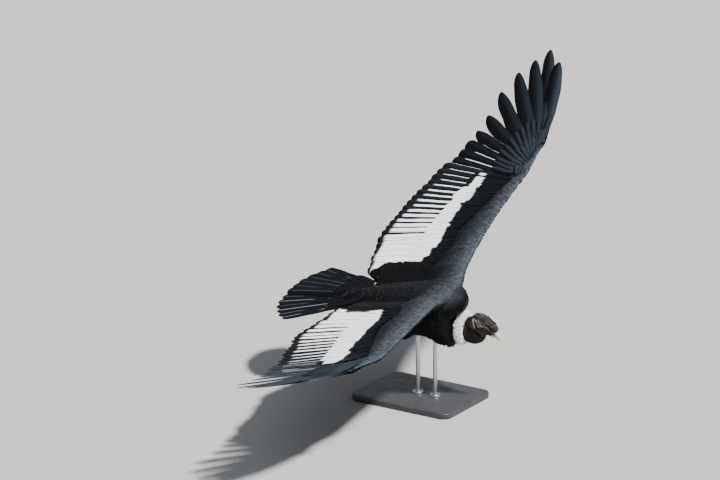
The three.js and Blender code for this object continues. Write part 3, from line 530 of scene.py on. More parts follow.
# %% Small body feather finish
body_finish = Finish("body_feather", BLACK, 0.6, Specular_IOR_Level=0.07)
body_finish.set(Sheen_Weight=0.03, Sheen_Roughness=0.4)
lines, height = body_finish.pattern(barbs, Count=90.0, Slant=0.35)
across, along, tone, edge = read(body_finish, "across", "along", "tone", "edge")
plain = lines.mix((0.0008, 0.0008, 0.0010), (0.0034, 0.0037, 0.0045))
# painted light: the blue-grey lit colour stands for sky and sun reflected on glossy black feathers, laid on
# where a stored number is high
lit = lines.band(0.3, 0.8).mix((0.009, 0.013, 0.018), (0.112, 0.136, 0.162))
fringe = along.band(0.80, 0.99) + abs(across).band(0.72, 1.0)
fringe = fringe.math("MINIMUM", fringe, 1.0) * edge
body_finish.set(Base_Color=fringe.mix(tone.mix(plain, lit), (0.0095, 0.0105, 0.0115)))
body_finish.bump(height, 0.4, 0.0005)
print("body feather nodes:", len(body_finish.nodes))

# %% Ruff down finish
down_finish = Finish("ruff_down", (0.92, 0.915, 0.90), 0.85, Specular_IOR_Level=0.2, Sheen_Weight=0.5)
down_finish.set(Subsurface_Weight=0.25, Subsurface_Radius=(0.006, 0.005, 0.004))
deep = down_finish.mottled(60.0).mix((0.60, 0.57, 0.53), (0.74, 0.71, 0.67))
out_share = read(down_finish, "along")[0].band(-0.1, 0.5)
down_finish.set(Base_Color=out_share.mix(deep, (0.91, 0.905, 0.89)))
print("down nodes:", len(down_finish.nodes))

# %% [markdown]
# ## Skin under the plumage
# One skin runs through torso, neck, throat, skull, arms and thighs. The forms are overlapped as
# closed tubes and melted into one surface with a Remesh modifier, once coarse for what feathers
# hide and once fine for the bare neck and face, whose two shells join under the ruff.

# %% Bare skin finish
skin_finish = Finish("bare_skin", (0.1, 0.06, 0.05), 0.6, Specular_IOR_Level=0.25)
fine, broad = skin_finish.mottled(420.0, 6.0), skin_finish.mottled(70.0, 3.0)
fold, tone, bare = read(skin_finish, "fold", "tone", "bare")
flesh = broad.mix((0.0040, 0.0035, 0.0033), (0.012, 0.009, 0.008))
# pale crests: the tan of the folds themselves, and a painted highlight on the wattle's edge
flesh = (fold * fine.band(0.25, 0.6)).mix(flesh, (0.38, 0.28, 0.23))
flesh = (fine.band(0.55, 0.8) * 0.18).mix(flesh, (0.12, 0.08, 0.065))
# under the feathers the skin takes their painted sheen, blue-grey where they are painted lit
under_coat = tone.mix(fine.mix((0.003, 0.003, 0.003), (0.008, 0.008, 0.009)), (0.045, 0.054, 0.064))
skin_finish.set(Base_Color=bare.mix(under_coat, flesh))
skin_finish.bump(fine + skin_finish.pattern(cells, Scale=420.0)[0] * 0.6, 0.5, 0.0007)

# %% Coarse skin under the feathers
SINK = 7.0  # how far the skin lies under the feathered outline
coarse = bmesh.new()
rolled(coarse, tube(TORSO, grow=-SINK, upright=True), 48, 60)
rolled(coarse, tube(TAIL_ROOT, grow=-3), 32, 16)
rolled(coarse, tube(NECK_ROOT), 32, 10)
for side in (1, -1):
    rolled(coarse, tube(THIGH, grow=-5, side=side), 28, 20)
for wing in wings.values():
    tip = wing.fingertip[1] + 22
    rolled(coarse, lambda t, turn: wing.core(blend(4, tip, t), turn, grow=-2.5), 40, 66)
body_skin = melted(coarse, 0.0052)

# %% [markdown]
# The face is where people look first. Folds behind the eye, the brow, the lids, the corner of the
# mouth and the wattle under the throat are all short bent tubes, laid on the skull before melting,
# so they grow out of it as soft ridges. Small noise then wrinkles the skin between them.

# %% Ridges of the face
# each fold's places along the skull and degrees round it, its thickness, and how pale its crest is
FOLDS = [
    ([(0.17, 48), (0.20, 32), (0.26, 14), (0.34, -3)], 4.0, 1.0),
    ([(0.27, 50), (0.32, 40), (0.39, 27), (0.47, 18)], 2.4, 0.85),
    ([(0.35, 54), (0.40, 46), (0.47, 37), (0.54, 29)], 2.1, 0.7),
    ([(0.10, 22), (0.18, 8), (0.28, -6), (0.40, -14)], 3.4, 0.12),
    ([(0.26, -33), (0.38, -27), (0.50, -31), (0.60, -45)], 3.0, 0.2),
    ([(0.16, -20), (0.22, -30), (0.28, -42), (0.32, -54)], 2.8, 0.45),
    ([(0.20, -54), (0.34, -52), (0.48, -54), (0.60, -60)], 4.6, 0.1),
    ([(0.54, 28), (0.64, 37), (0.74, 38), (0.86, 30)], 3.0, 0.15),
    ([(0.80, -12), (0.70, -18), (0.60, -20), (0.50, -18)], 2.2, 0.35),
]
WATTLE_EDGE = [(-12, 15, -20), (6, 21, -19), (22, 18, -27), (27, 12, -40)]
LIDS = ((0, 2.1), (math.pi, 1.7))  # where round the eye each lid starts, and its thickness
to_head = (BIRD @ HEAD).inverted()


def skull_spot(t, turn, lift=0.6):
    """A point on the side of the skull: along it from 0 to 1, and degrees up from its widest line."""
    x, _, z, wide, high = between(SKULL, t)
    angle = math.radians(turn)
    return x, math.cos(angle) * (wide + lift), z + math.sin(angle) * (high + lift)


def ridge(bm, spots, thick, side):
    """A soft ridge of skin through a few spots, thickest in its middle."""
    rows = [[i / (len(spots) - 1), *spot] for i, spot in enumerate(spots)]

    def points(t, turn):
        ahead = heading(rows, t, 0.03)
        over = unit(np.cross(ahead, [0, 1.0, 0.02]))
        swell = np.cos(turn)[:, None] * over + np.sin(turn)[:, None] * np.cross(ahead, over)
        radius = thick * np.sqrt(np.maximum(np.sin(math.pi * np.clip(t, 0.02, 0.98)), 0.02))
        return (between(rows, t) + radius[:, None] * swell) * [1, side, 1]

    rolled(bm, points, 14, 18, HEAD)


face = bmesh.new()
rolled(face, tube(SKULL), 48, 44, HEAD)
rolled(face, tube(THROAT), 36, 24, HEAD)
rolled(face, lambda t, turn: tube_points(NECK, blend(0.3, 1, t), turn, grow=-1), 48, 40)
rolled(face, tube(NAPE), 36, 24, HEAD)
ridges = [([skull_spot(*spot) for spot in spots], thick, pale) for spots, thick, pale in FOLDS]
# the wattle's edge gets a pale crest that is a painted highlight, the light along the top of the wattle
ridges.append((WATTLE_EDGE, 2.6, 0.55))
crests = []
for side in (1, -1):
    for line, thick, pale in ridges:
        ridge(face, line, thick, side)
        rows = [[i, *spot] for i, spot in enumerate(line)]
        crests.append((between(rows, np.linspace(0, 3, 25)) * [1, side, 1], thick, pale))
    for start, thick in LIDS:
        angles = np.linspace(-0.2, math.pi + 0.2, 7) + start
        ring = [EYE + Vector((7.6 * math.cos(a), 3.6 - 1.2 * math.cos(a), 7.0 * math.sin(a))) for a in angles]
        ridge(face, ring, thick, side)
face_skin = melted(face, 0.0013)


# %% Wrinkles, eye sockets and nostrils
def wrinkle(x, y, z):
    """A thin fold wherever smooth noise crosses its middle."""
    return 1 - 2.4 * abs(noise.noise(Vector((x, y, z))))


eyes = [BIRD @ HEAD @ Vector((EYE.x, side * EYE.y, EYE.z)) for side in (1, -1)]
nostrils = [Vector((45, side * 15.0, 7)) for side in (1, -1)]
NOSTRIL_SIZE = (5.5, 7, 2.6)
CERE = 44  # forward of this place on the head the skin is smoother
for vert in face_skin.verts:
    local = to_head @ vert.co
    swirl = noise.noise(local * 0.04) * 0.9
    broad_fold = (wrinkle(local.x * 0.09 + swirl, local.y * 0.12, local.z * 0.30 + swirl) - 0.4) * 0.0013
    fine_fold = wrinkle(local.x * 0.3, local.y * 0.3, local.z * 0.7) * 0.0004
    vert.co += vert.normal * (broad_fold + fine_fold) * (1 if local.x < CERE else 0.3)
    for eye in eyes:
        offset = vert.co - eye
        if offset.length < EYE_RADIUS * 0.00106:
            vert.co = eye + offset.normalized() * EYE_RADIUS * 0.00085
    for hole in nostrils:
        depth = 1 - sum((gap / size) ** 2 for gap, size in zip(local - hole, NOSTRIL_SIZE))
        if depth > 0:
            vert.co -= vert.normal * 0.0035 * depth**0.5
print("face and neck:", len(face_skin.faces), "faces")

# %% Join both shells into the bird's skin
covered = len(body_skin.verts)
face_mesh = mesh_from(face_skin, "face")
body_skin.from_mesh(face_mesh)
bpy.data.meshes.remove(face_mesh)
mesh = mesh_from(body_skin, "bird_skin")
local = moved(points_of(mesh.vertices), to_head)
bare, folded = np.zeros(len(local)), np.zeros(len(local))
bare[covered:] = 1
for line, thick, pale in crests:
    gap = np.sqrt(((local[covered:, None] - line[None]) ** 2).sum(-1).min(1))
    folded[covered:] = np.maximum(folded[covered:], pale * np.exp(-((gap / thick / 1.05) ** 4)))
store(mesh, bare=bare, fold=folded)
nodes = ("torso", "neck", "head", "thigh_left", "thigh_right")
skin = new_piece("bird_skin", mesh, skin_finish, "bare_skin", *nodes)
print("bird skin:", len(mesh.polygons), "faces, pale crests on", int((folded > 0.3).sum()), "points")

# %% [markdown]
# ## How one feather is made
# A feather is a closed flat plate from a grid, extruded to a thickness. The plate keeps three plain
# numbers for each point: across from -1 to 1, along from 0 at the root to 1 at the tip, and upper
# or lower face. Thousands of feathers are this one plate, laid out by arrays of numbers.

# %% The plain plate and the joined mesh
# the columns of a long vane, crowded to its shaft
VANE_COLUMNS = [-1, -0.82, -0.55, -0.28, -0.07, 0.0, 0.07, 0.28, 0.55, 0.82, 1]


def new_plate(columns, rows, crowd):
    """A closed plate: x across from -1 to 1, y along and crowded to the tip, z 1 on its upper face."""
    bm = bmesh.new()
    bmesh.ops.create_grid(bm, x_segments=columns, y_segments=rows, size=1)
    for vert in bm.verts:
        vert.co.y = (vert.co.y + 1) / 2
    for item in bmesh.ops.extrude_face_region(bm, geom=bm.faces[:], use_keep_orig=True)["geom"]:
        if isinstance(item, bmesh.types.BMVert):
            item.co.z = 1
    bmesh.ops.recalc_face_normals(bm, faces=bm.faces[:])
    points = points_of(bm.verts)
    points[:, 1] = 1 - (1 - points[:, 1]) ** crowd
    faces = np.array([[vert.index for vert in face.verts] for face in bm.faces])
    bm.free()
    return points, faces


def joined(name, plate, spots, numbers, roots):
    """One mesh of many plates. spots is feathers x points x 3, roots places each patch on OFBake."""
    points, faces = plate
    count, per = spots.shape[:2]
    corners = (faces[None] + (np.arange(count) * per)[:, None, None]).reshape(-1)
    mesh = bpy.data.meshes.new(name)
    mesh.vertices.add(count * per)
    mesh.vertices.foreach_set("co", moved(spots.reshape(-1, 3), BIRD).reshape(-1))
    mesh.loops.add(len(corners))
    mesh.loops.foreach_set("vertex_index", corners)
    mesh.polygons.add(len(corners) // 4)
    mesh.polygons.foreach_set("loop_start", np.arange(0, len(corners), 4))
    mesh.update(calc_edges=True)
    mesh.polygons.foreach_set("use_smooth", np.ones(len(mesh.polygons), bool))
    across, along, upper = np.tile(points.T, count)
    store(mesh, across=across, along=along, upper=upper)
    store(mesh, **{key: np.repeat(values, per) for key, values in numbers.items()})
    patch = np.stack([across * 0.5, along - 0.5], -1) * np.repeat(roots[:, 2:], per, axis=0)
    uv = np.repeat(roots[:, :2], per, axis=0) + patch
    mesh.uv_layers.new(name="OFBake").data.foreach_set("uv", uv[corners].reshape(-1).astype(np.float32))
    mesh.set_sharp_from_angle(angle=math.radians(60))
    return mesh


long_plate, short_plate = new_plate(10, 22, 1.45), new_plate(6, 9, 1.45)
long_plate[0][:, 0] = np.interp(long_plate[0][:, 0], np.linspace(-1, 1, len(VANE_COLUMNS)), VANE_COLUMNS)
print("points of a long vane:", len(long_plate[0]), "and of a short one:", len(short_plate[0]))

# %% [markdown]
# A vane is widest along its middle and rounded at its tip, and the outer primaries narrow to
# fingers. Its shaft stands up a little, its webs droop and ripple, and its outer web lies over the
# next vane. Each feather gets its own small differences, so that no two are the same.

# %% Vanes and flocks of them
# places along a vane, its share of its full width there, and how much of its length rounds off
VANES = {
    "straight": ([0, 0.12, 0.5, 0.9, 1], [0.5, 0.86, 1, 0.97, 0.92], 0.1),
    "short": ([0, 0.3, 0.6, 0.85, 1], [0.4, 0.85, 1, 0.98, 0.9], 0.2),
    "finger": ([0, 0.14, 0.42, 0.62, 0.76, 0.9, 1], [0.3, 0.8, 1, 1, 0.92, 0.78, 0.6], 0.16),
}
PLAIN_VANE = dict(web=1.2, tip=0.9, base=0.0, sheen=0.3, shine=0.0, pale=1.0)


class Flock:
    """Collects the feathers of one piece, which lie on a sheet given by place."""

    def __init__(self, place, plate):
        self.place, self.plate = place, plate
        self.spots, self.looks = [], []

    def vane(self, kind, x, span, turn, length, height, out_web, in_web, curl=0, bow=0, shingle=SHINGLE):
        """Where the plate's points go for one feather."""
        u, v, w = self.plate[0].T
        ahead, out = -math.cos(math.radians(turn)), math.sin(math.radians(turn))
        places, shares, rounding = VANES[kind]
        tip = np.clip((v - 1 + rounding) / rounding, 0, 1)
        share = np.interp(v, places, shares) * np.sqrt(np.maximum(1 - tip**2.4, 0))
        ripple = 1 + 0.035 * np.sin(v * rng.uniform(16, 26) + rng.uniform(0, 6)) * np.abs(u)
        reach = bow * v * v + u * share * np.where(u > 0, out_web, in_web) * ripple
        thick = 0.22 + np.exp(-((u / 0.09) ** 2)) * blend(1.2, 0.2, v)
        middle = height + curl * v * v + (reach - bow * v * v) * shingle - np.abs(u) ** 1.5 * share * 1.6
        middle = middle + rng.normal(0, 0.35) + 0.5 * np.sin(v * 9 + rng.uniform(0, 6)) * np.abs(u)
        along = length * v
        x, span = x + ahead * along + out * reach, span + out * along - ahead * reach
        return self.place(x, span, middle + (w * 2 - 1) * thick)

    def add(self, *shape, bends={}, uneven=0.0, **look):
        """One more feather. The edge of its white web varies by uneven."""
        self.spots.append(self.vane(*shape, **bends))
        look = {**PLAIN_VANE, **look}
        if uneven:
            look["web"] += rng.normal(0, uneven)
        self.looks.append({**look, "seed": rng.random()})

    def build(self, name, *replaced):
        count = len(self.looks)
        numbers = {key: np.array([look[key] for look in self.looks]) for key in self.looks[0]}
        strip = np.stack([(np.arange(count) + 0.5) / count, np.full(count, 0.5)], -1)
        roots = np.concatenate([strip, np.tile([0.8 / count, 0.96], (count, 1))], -1)
        mesh = joined(name, self.plate, np.array(self.spots), numbers, roots)
        new_piece(name, mesh, vane_finish, "flight_feathers", *replaced)
        print(name, count, "feathers,", 2 * len(mesh.polygons), "triangles")


# %% Flight feathers
# how far across a vane the dark reaches from its inner web, at seven places from wrist to body
DARK_WEBS = {
    "left": [0.93, 0.82, 0.62, 0.34, 0.0, -0.5, -0.95],
    "right": [1.05, 0.95, 0.75, 0.5, 0.25, -0.3, -0.9],
}
for name, wing in wings.items():
    flight = Flock(wing.place, long_plate)
    for f in np.arange(SECONDARY["count"]) / (SECONDARY["count"] - 1):
        x, span, turn = wing.secondary_root(f)
        length = blend(SECONDARY["outer"], SECONDARY["inner"], f**2) + rng.normal(0, 3)
        web = np.interp(f, [0, 0.12, 0.25, 0.42, 0.62, 0.8, 1], DARK_WEBS[name])
        tip = np.interp(f, [0, 0.15, 0.3, 0.6, 0.85, 1], [0.88, 0.86, 0.86, 0.89, 0.93, 0.95])
        tip = tip + rng.normal(0, 0.01)
        base = np.interp(f, [0, 0.2, 0.4], [0.5, 0.3, 0.1])
        flight.add("straight", x, span, turn, length, 0, 19.5, 40, uneven=0.04, web=web, tip=tip, base=base)
    for i in range(1, TERTIAL["count"] + 1):
        span, length = INNER_ROOT[1] - TERTIAL["step"] * i, TERTIAL["length"] - TERTIAL["shorter"] * i
        flight.add("straight", INNER_ROOT[0], span, -1.5 - 1.2 * i, length, 2.2 * i, 20, 34, sheen=0.05)
    for k, length in enumerate(PRIMARY_LENGTHS):
        g = k / (len(PRIMARY_LENGTHS) - 1)
        x, span = wing.hand_root(g, (-8, 22), (-8, 0))
        turn = PRIMARY_FAN[k] + wing.hold["hand_turn"] * g
        bends = dict(curl=34 * g * g, bow=-22 * g, shingle=0.05 if name == "left" else 0.015)
        kind, webs = "finger" if k >= FIRST_FINGER else "straight", (blend(20, 25, g), blend(41, 52, g))
        # the painted sheen is full on the right hand and grows towards the outermost fingers of the left
        flight.add(
            kind, x, span, turn, length, 0, *webs, bends=bends, web=0.74 + 0.09 * k, tip=0.84 - 0.04 * k,
            base=0.4, pale=0.6, sheen=0.1 + 0.9 * g**3 if name == "left" else 1.5,
        )
    flight.build(f"{name}_flight_feathers", f"wing_{name}_arm", f"wing_{name}_hand")

# %% [markdown]
# ## Coverts in tiers
# Over the roots of the flight feathers lie the greater coverts, white here with dark flecks at their
# front edge, then median coverts, and the primary coverts and the alula on the hand. A lower tier
# closes the wing's underside, which is dark in this bird.

# %% Coverts
ARM_COVERTS, HAND_COVERTS, ALULA, UNDER_COVERTS = 26, 13, 3, 30
UNDER_ARM = 0.66  # share of the under coverts that grow on the arm
# how far behind the leading edge the white begins, by span
WHITE_START = ([160, 230, 300, 480, 540, 620], [262, 222, 208, 213, 190, 192])
for name, wing in wings.items():
    coverts = Flock(wing.place, short_plate)

    def lay(x, span, turn, length, height, *webs, **look):
        turn, bends = turn + rng.normal(0, 0.7), dict(curl=-0.6 * height)
        coverts.add("short", x, span, turn, length, height, *webs, bends=bends, **look)

    for f in (np.arange(ARM_COVERTS) + 0.5) / ARM_COVERTS:
        x, span, turn = wing.secondary_root(f)
        dark = x - (float(wing.front(span)) - np.interp(span, *WHITE_START))
        web = -1.2 if f > 0.2 else blend(0.3, -1.2, f / 0.2)
        length = blend(226, 190, ease(f, 0.1, 0.6)) + rng.normal(0, 4)
        fleck = dark / length + rng.normal(0.01, 0.035)
        lay(x, span, turn - 2, length, 6.5, 17, 27, web=web, tip=1.05 if f > 0.14 else 0.85, base=fleck)
        span = span + rng.normal(0, 2)
        lay(x, span, turn - 2, max(dark + rng.normal(-4, 6), 60), 14, 16, 24, sheen=0.1, tip=0.8)
    for g in (np.arange(HAND_COVERTS) + 0.5) / HAND_COVERTS:
        x, span = wing.hand_root(g, (-4, 20), (2, -16))
        turn = blend(PRIMARY_FAN[0], PRIMARY_FAN[-1], g**1.1) + wing.hold["hand_turn"] * g
        length = np.interp(g, [0, 0.3, 0.6, 0.85, 1], [165, 215, 245, 225, 205]) + rng.normal(0, 4)
        lay(x, span, turn, length, 7, 12, 21, sheen=0.55, shine=0.07)
        lay(x, span + 6, turn - 3, 0.5 * length, 12, 13, 19, sheen=0.8, shine=0.05)
    for k in range(ALULA):
        x, span = wing.wrist + (16 - 8 * k, 34 - 6 * k)
        lay(x, span, 82 - 9 * k, 120 - 14 * k, 14 + 1.5 * k, 9, 16, sheen=1.0)
    for f in (np.arange(UNDER_COVERTS) + 0.5) / UNDER_COVERTS:
        if f < UNDER_ARM:
            x, span, turn = wing.secondary_root(f / UNDER_ARM)
        else:
            g = (f - UNDER_ARM) / (1 - UNDER_ARM)
            x, span = wing.hand_root(g, (-4, 20), (0, -14))
            turn = blend(PRIMARY_FAN[0], PRIMARY_FAN[-1], g)
        lay(x, span, turn, 190 - 30 * f, -9, 19, 30, sheen=0.1)
        lay(x, span, turn, 120 - 20 * f, -13, 17, 26, sheen=0.1)
    coverts.build(f"{name}_coverts", f"wing_{name}_arm", f"wing_{name}_hand")

# %% [markdown]
# ## Tail
# Twelve broad feathers in two mirrored halves, the middle pair on top, with short coverts over and
# under their roots. The outer ones are shorter, which rounds the fan.

# %% Tail feathers and their coverts
TAIL = dict(base=-400, z=-8, length=420, spread=20.5, yaw=3.5, roll=2, pairs=6, step=11, lap=4.5)
# painted highlights on the shafts, strongest in a few feathers of the right half
TAIL_SHINE = (0.2, 0.6, 0.15, 0.9, 0.3, 0.7)  # of the shafts in the right half
# length, height and step of each tier of coverts
TAIL_TIERS = ((178, 7, 12.6), (120, 11, 10.8), (150, -9, 11.7))


def tail_sheet(side):
    yaw, roll = math.radians(TAIL["yaw"]), math.sin(math.radians(TAIL["roll"]))

    def place(x, span, height):
        back, y = x - TAIL["base"], side * span
        forward = TAIL["base"] + back * math.cos(yaw) + y * math.sin(yaw)
        aside = y * math.cos(yaw) - back * math.sin(yaw)
        return np.stack([forward, aside, TAIL["z"] + y * roll + height], -1)

    return place


tail, tail_coverts = Flock(None, long_plate), Flock(None, short_plate)
for side in (1, -1):
    tail.place = tail_coverts.place = tail_sheet(side)
    lap = TAIL["lap"] if side > 0 else 0
    shares = np.arange(TAIL["pairs"]) / (TAIL["pairs"] - 1)
    for i, f in enumerate(shares):
        length = TAIL["length"] * blend(1, 0.8, f * f) + rng.normal(0, 2)
        span, turn = 6 + TAIL["step"] * i, blend(2, TAIL["spread"], f)
        look = dict(sheen=0.1, shine=0.12 if side > 0 else TAIL_SHINE[i])
        tail.add("straight", TAIL["base"], span, turn, length, lap, 27, 34, **look)
    for full, height, step in TAIL_TIERS:
        for i, f in enumerate(shares):
            length = full * blend(1, 0.82, f) + rng.normal(0, 5)
            span, turn, high = 6 + step * i, blend(1, 19, f), height + lap * (height > 0)
            tail_coverts.add("short", TAIL["base"] + 18, span, turn, length, high, 20, 26, sheen=0.05)
tail.build("tail_feathers", "tail")
tail_coverts.build("tail_coverts", "tail")

# %% [markdown]
# ## Small feathers of body and wing
# The body is covered by small rounded feathers that lie back along it like shingles. Each is a small
# curved plate set on the surface where it grows, tipped up a little, its root sunk under the last.

# %% Tufts set on a surface
small_plate, down_plate = new_plate(2, 5, 1.5), new_plate(1, 3, 1.5)
coat_roots = []


def tufts(
    name, replaced, growth, sizes, lifts, numbers, roots,
    pointed=0.0, curve=0.12, thick=0.4, plate=small_plate,
):
    """Sets one small plate at each spot of growth, tipped up from the way it lies by lifts in degrees."""
    spots, normals, lies = growth
    widths, lengths = sizes
    u, v, w = plate[0].T
    share = np.interp(v, [0, 0.3, 0.6, 0.8, 0.93, 1], [0.4, 0.9, 1, 0.95, 0.72, 0.3])
    share = blend(share, np.interp(v, [0, 0.3, 1], [0.6, 1, 0.12]), pointed)
    lies = unit(lies - normals * np.sum(lies * normals, -1, keepdims=True))
    sides = np.cross(lies, normals)
    lift = np.radians(lifts)[:, None]
    grow = lies * np.cos(lift) + normals * np.sin(lift)
    stand = normals * np.cos(lift) - lies * np.sin(lift)
    along = (v * (1 - 0.12 * u**2 * (v > 0.9)))[None] * lengths[:, None]
    out = (u * share * (1 - 0.25 * (v > 0.99)))[None] * widths[:, None] / 2
    up = -(v**2)[None] * (curve * lengths)[:, None] - (u**2 * 0.09)[None] * widths[:, None]
    up = up + (w * thick * np.where(v > 0.9, 0.5, 1))[None]
    made = spots[:, None] + grow[:, None] * along[..., None]
    made = made + sides[:, None] * out[..., None] + stand[:, None] * up[..., None]
    mesh = joined(name, plate, made, numbers, roots)
    if "tone" in numbers:
        new_piece(name, mesh, body_finish, "plumage", *replaced)
        coat_roots.append(np.column_stack([moved(spots, BIRD), numbers["tone"]]))
    else:
        new_piece(name, mesh, down_finish, "ruff_down", *replaced)
    print(name, len(spots), "tufts,", len(mesh.polygons) * 2, "triangles")


def surface(point_of, a, b):
    """Points, normals and the way along, of a surface given by two numbers."""
    small = 1e-3
    along = point_of(a + small, b) - point_of(a - small, b)
    around = point_of(a, b + small) - point_of(a, b - small)
    return point_of(a, b), unit(np.cross(along, around)), along


def patches(u, v, corner, size):
    """A patch 0.003 across for each tuft, on its own part of the unwrap."""
    spots = np.stack([corner[0] + np.clip(u, 0, 1) * size[0], corner[1] + np.clip(v, 0, 1) * size[1]], -1)
    return np.concatenate([spots, np.full((len(spots), 2), 0.003)], -1)


def facing(normal, outward):
    """Normals turned over where they point against outward."""
    return np.where(np.sum(outward * normal, -1, keepdims=True) < 0, -normal, normal)


print("points of a small feather:", len(small_plate[0]), "and of a lock of down:", len(down_plate[0]))

# %% [markdown]
# The rows of the body are as far apart as its feathers are long, so they are spaced by walking back
# along the torso and counting in feathers. At the front of the breast the first ones lie upwards.

# %% Small feathers of the body
FEATHER_SIZE = ([0, 0.15, 0.5, 1], [13, 18, 27, 36])  # places along the torso, and a feather's width there
ROW_STEP, ROUND_STEP, FIRST_ROW = 0.53, 0.62, 0.08
steps = np.linspace(0, 1, 400)
lines = [tube_points(TORSO, steps, angle, grow=-SINK, upright=True) for angle in (-1.57, -0.8, 0, 0.8, 1.57)]
stride = np.max([np.linalg.norm(np.diff(line, axis=0), axis=1) for line in lines], axis=0)
reach = np.concatenate([[0], np.cumsum(stride / np.interp(steps[1:], *FEATHER_SIZE))])
rows = []
for row, t in enumerate(np.interp(np.arange(FIRST_ROW, reach[-1] - 0.1, ROW_STEP), reach, steps)):
    wide, high = between(TORSO, t)[3:]
    girth = ROUND * math.sqrt((wide**2 + high**2) / 2)
    around = int(girth / (ROUND_STEP * np.interp(t, *FEATHER_SIZE))) + 4
    turns = (np.arange(around) + 0.5 * (row % 2)) / around * ROUND
    rows.append(np.stack([np.full(around, t), turns], -1))
spread = np.concatenate(rows)
t = np.clip(spread[:, 0] + rng.normal(0, 0.003, len(spread)), 0.003, 0.99)
turn = spread[:, 1] + rng.normal(0, 0.03, len(spread))
here, normal, lie = surface(tube(TORSO, grow=-SINK + 1, upright=True), t, turn)
normal = facing(normal, here - between(TORSO, t)[..., :3])
lie = unit(lie) + np.interp(t, [0.0, 0.05, 0.08], [3.0, 2.0, 0.0])[:, None] * [-0.3, 0, 1.0]
size = np.interp(t, *FEATHER_SIZE)
# painted light: feathers facing up, and those over the front of the back, get the painted blue-grey sheen
top = np.clip(normal[:, 2], 0, 1)
tone = np.clip(top**1.5 * np.interp(t, [0, 0.18, 0.3, 0.42, 1], [0.5, 0.9, 0.75, 0.1, 0.0]), 0, 1)
tone = tone * rng.uniform(0.5, 1, len(t))
edge = top * np.interp(t, [0, 0.3, 0.45, 1], [0.1, 0.3, 0.9, 0.7]) * rng.uniform(0.2, 1, len(t))
numbers = dict(tone=tone, edge=edge, seed=rng.random(len(t)))
longer = np.interp(t, [0, 0.9, 0.97], [1.5, 1.5, 2.5]) * rng.uniform(0.9, 1.12, len(t))
sizes = (size * rng.uniform(0.85, 1.1, len(t)), size * longer)
roots = patches(turn / ROUND % 1, t, (0.0, 0.0), (0.46, 0.98))
tufts("body_feathers", ("torso",), (here, normal, lie), sizes, rng.normal(8, 1.5, len(t)), numbers, roots)

# %% Small feathers of the wings
# painted light: how strongly a blue-grey painted sheen lies on the upper side, from the leading edge back; it
# reaches further back on the right wing
WING_TONES = {"left": [1, 0.75, 0.3, 0.07, 0], "right": [1, 0.95, 0.55, 0.17, 0.02]}
UPPER_GAP, UNDER_GAP, SPAN_STEP = 8.5, 13, 8.6
for name, wing in wings.items():
    tip = wing.fingertip[1] + 14
    chords = [[40, 196], [450, 172], [WRIST_SPAN - 60, 140], [WRIST_SPAN + 30, 92], [tip, 26]]
    sets = []
    for row, span in enumerate(np.arange(4, tip, SPAN_STEP)):
        for upper, gap in ((1, UPPER_GAP), (-1, UNDER_GAP)):
            if upper < 0 and row % 2:
                continue
            count = max(int(between(chords, span)[0] * 0.9 / gap), 3)
            back = (1 - np.cos(blend(0.06, 2.38, (np.arange(count) + 0.6 * rng.random()) / count))) / 2
            sets.append(np.stack([span + rng.normal(0, 3.5, count), back, np.full(count, upper)], -1))
    span, back, upper = np.concatenate(sets).T
    total = len(span)
    turn = np.arccos(np.clip(1 - 2 * back, -1, 1)) * upper
    here, normal, _ = surface(lambda a, b: wing.core(a, b, grow=-1.5), span, turn)
    zero = wing.place(0 * span, span, 0 * span)
    normal = facing(normal, wing.place(0 * span, span, upper) - zero)
    fan = np.radians(np.interp(span, [80, 300, WRIST_SPAN, tip], [-6, 6, 24, 70]))
    lie = wing.place(-np.cos(fan), span + np.sin(fan), 0 * span) - zero
    size = np.interp(back, [0, 0.15, 0.5, 1], [10, 13, 19, 25]) * np.where(upper > 0, 1, 1.35)
    size = size * np.interp(span, [80, WRIST_SPAN, tip], [1.15, 1, 0.7])
    tone = np.where(upper > 0, np.interp(back, [0, 0.12, 0.3, 0.5, 0.8], WING_TONES[name]), 0.03)
    tone = np.clip(tone * rng.uniform(0.4, 1.1, total) * np.interp(span, [0, 200], [0.7, 1]), 0, 1)
    edge = np.where(upper > 0, np.interp(back, [0, 0.3, 0.6, 1], [0.15, 0.3, 0.7, 0.6]), 0.1)
    edge = edge * rng.uniform(0.3, 1, total)
    numbers = dict(tone=tone, edge=edge, seed=rng.random(total))
    sizes = (size * rng.uniform(0.9, 1.1, total), size * np.interp(back, [0, 0.1], [1.35, 1.75]))
    lifts = np.interp(back, [0, 0.05, 0.2], [1, 3, 6]) + rng.normal(0, 1, total)
    corner = (0.48 if name == "left" else 0.74, 0.0)
    roots = patches((back + (upper < 0)) / 2, (span - 80) / 900, corner, (0.24, 0.98))
    curve = np.interp(back, [0, 0.04, 0.15], [0.5, 0.32, 0.12])
    nodes = (f"wing_{name}_arm", f"wing_{name}_hand")
    tufts(f"{name}_wing_feathers", nodes, (here, normal, lie), sizes, lifts, numbers, roots, curve=curve)

# %% [markdown]
# Over the place where wing and back meet lie the scapulars, larger rounded feathers in rows. They
# hide the roots of the innermost flight feathers, so that the back runs into the wing unbroken.

# %% Scapulars
for name, wing in wings.items():
    x, span = np.meshgrid(np.arange(-30, -345, -19.0), np.arange(62, 172, 12.0))
    x = (x + rng.normal(0, 4, x.shape)).reshape(-1)
    span = (span + rng.normal(0, 3, span.shape)).reshape(-1)
    total = len(x)
    here = wing.place(x, span, 9.0)
    growth = (here, wing.place(x, span, 10.0) - here, np.tile([-1.0, 0, 0], (total, 1)))
    numbers = dict(tone=np.full(total, 0.02), edge=rng.uniform(0.1, 0.6, total), seed=rng.random(total))
    sizes = (rng.normal(27, 2, total), rng.normal(46, 3, total))
    roots = patches((span - 60) / 120, -x / 345, (0.965, 0.0 if name == "left" else 0.5), (0.012, 0.45))
    tufts(f"{name}_scapulars", (f"wing_{name}_arm",), growth, sizes, rng.normal(5, 1, total), numbers, roots)

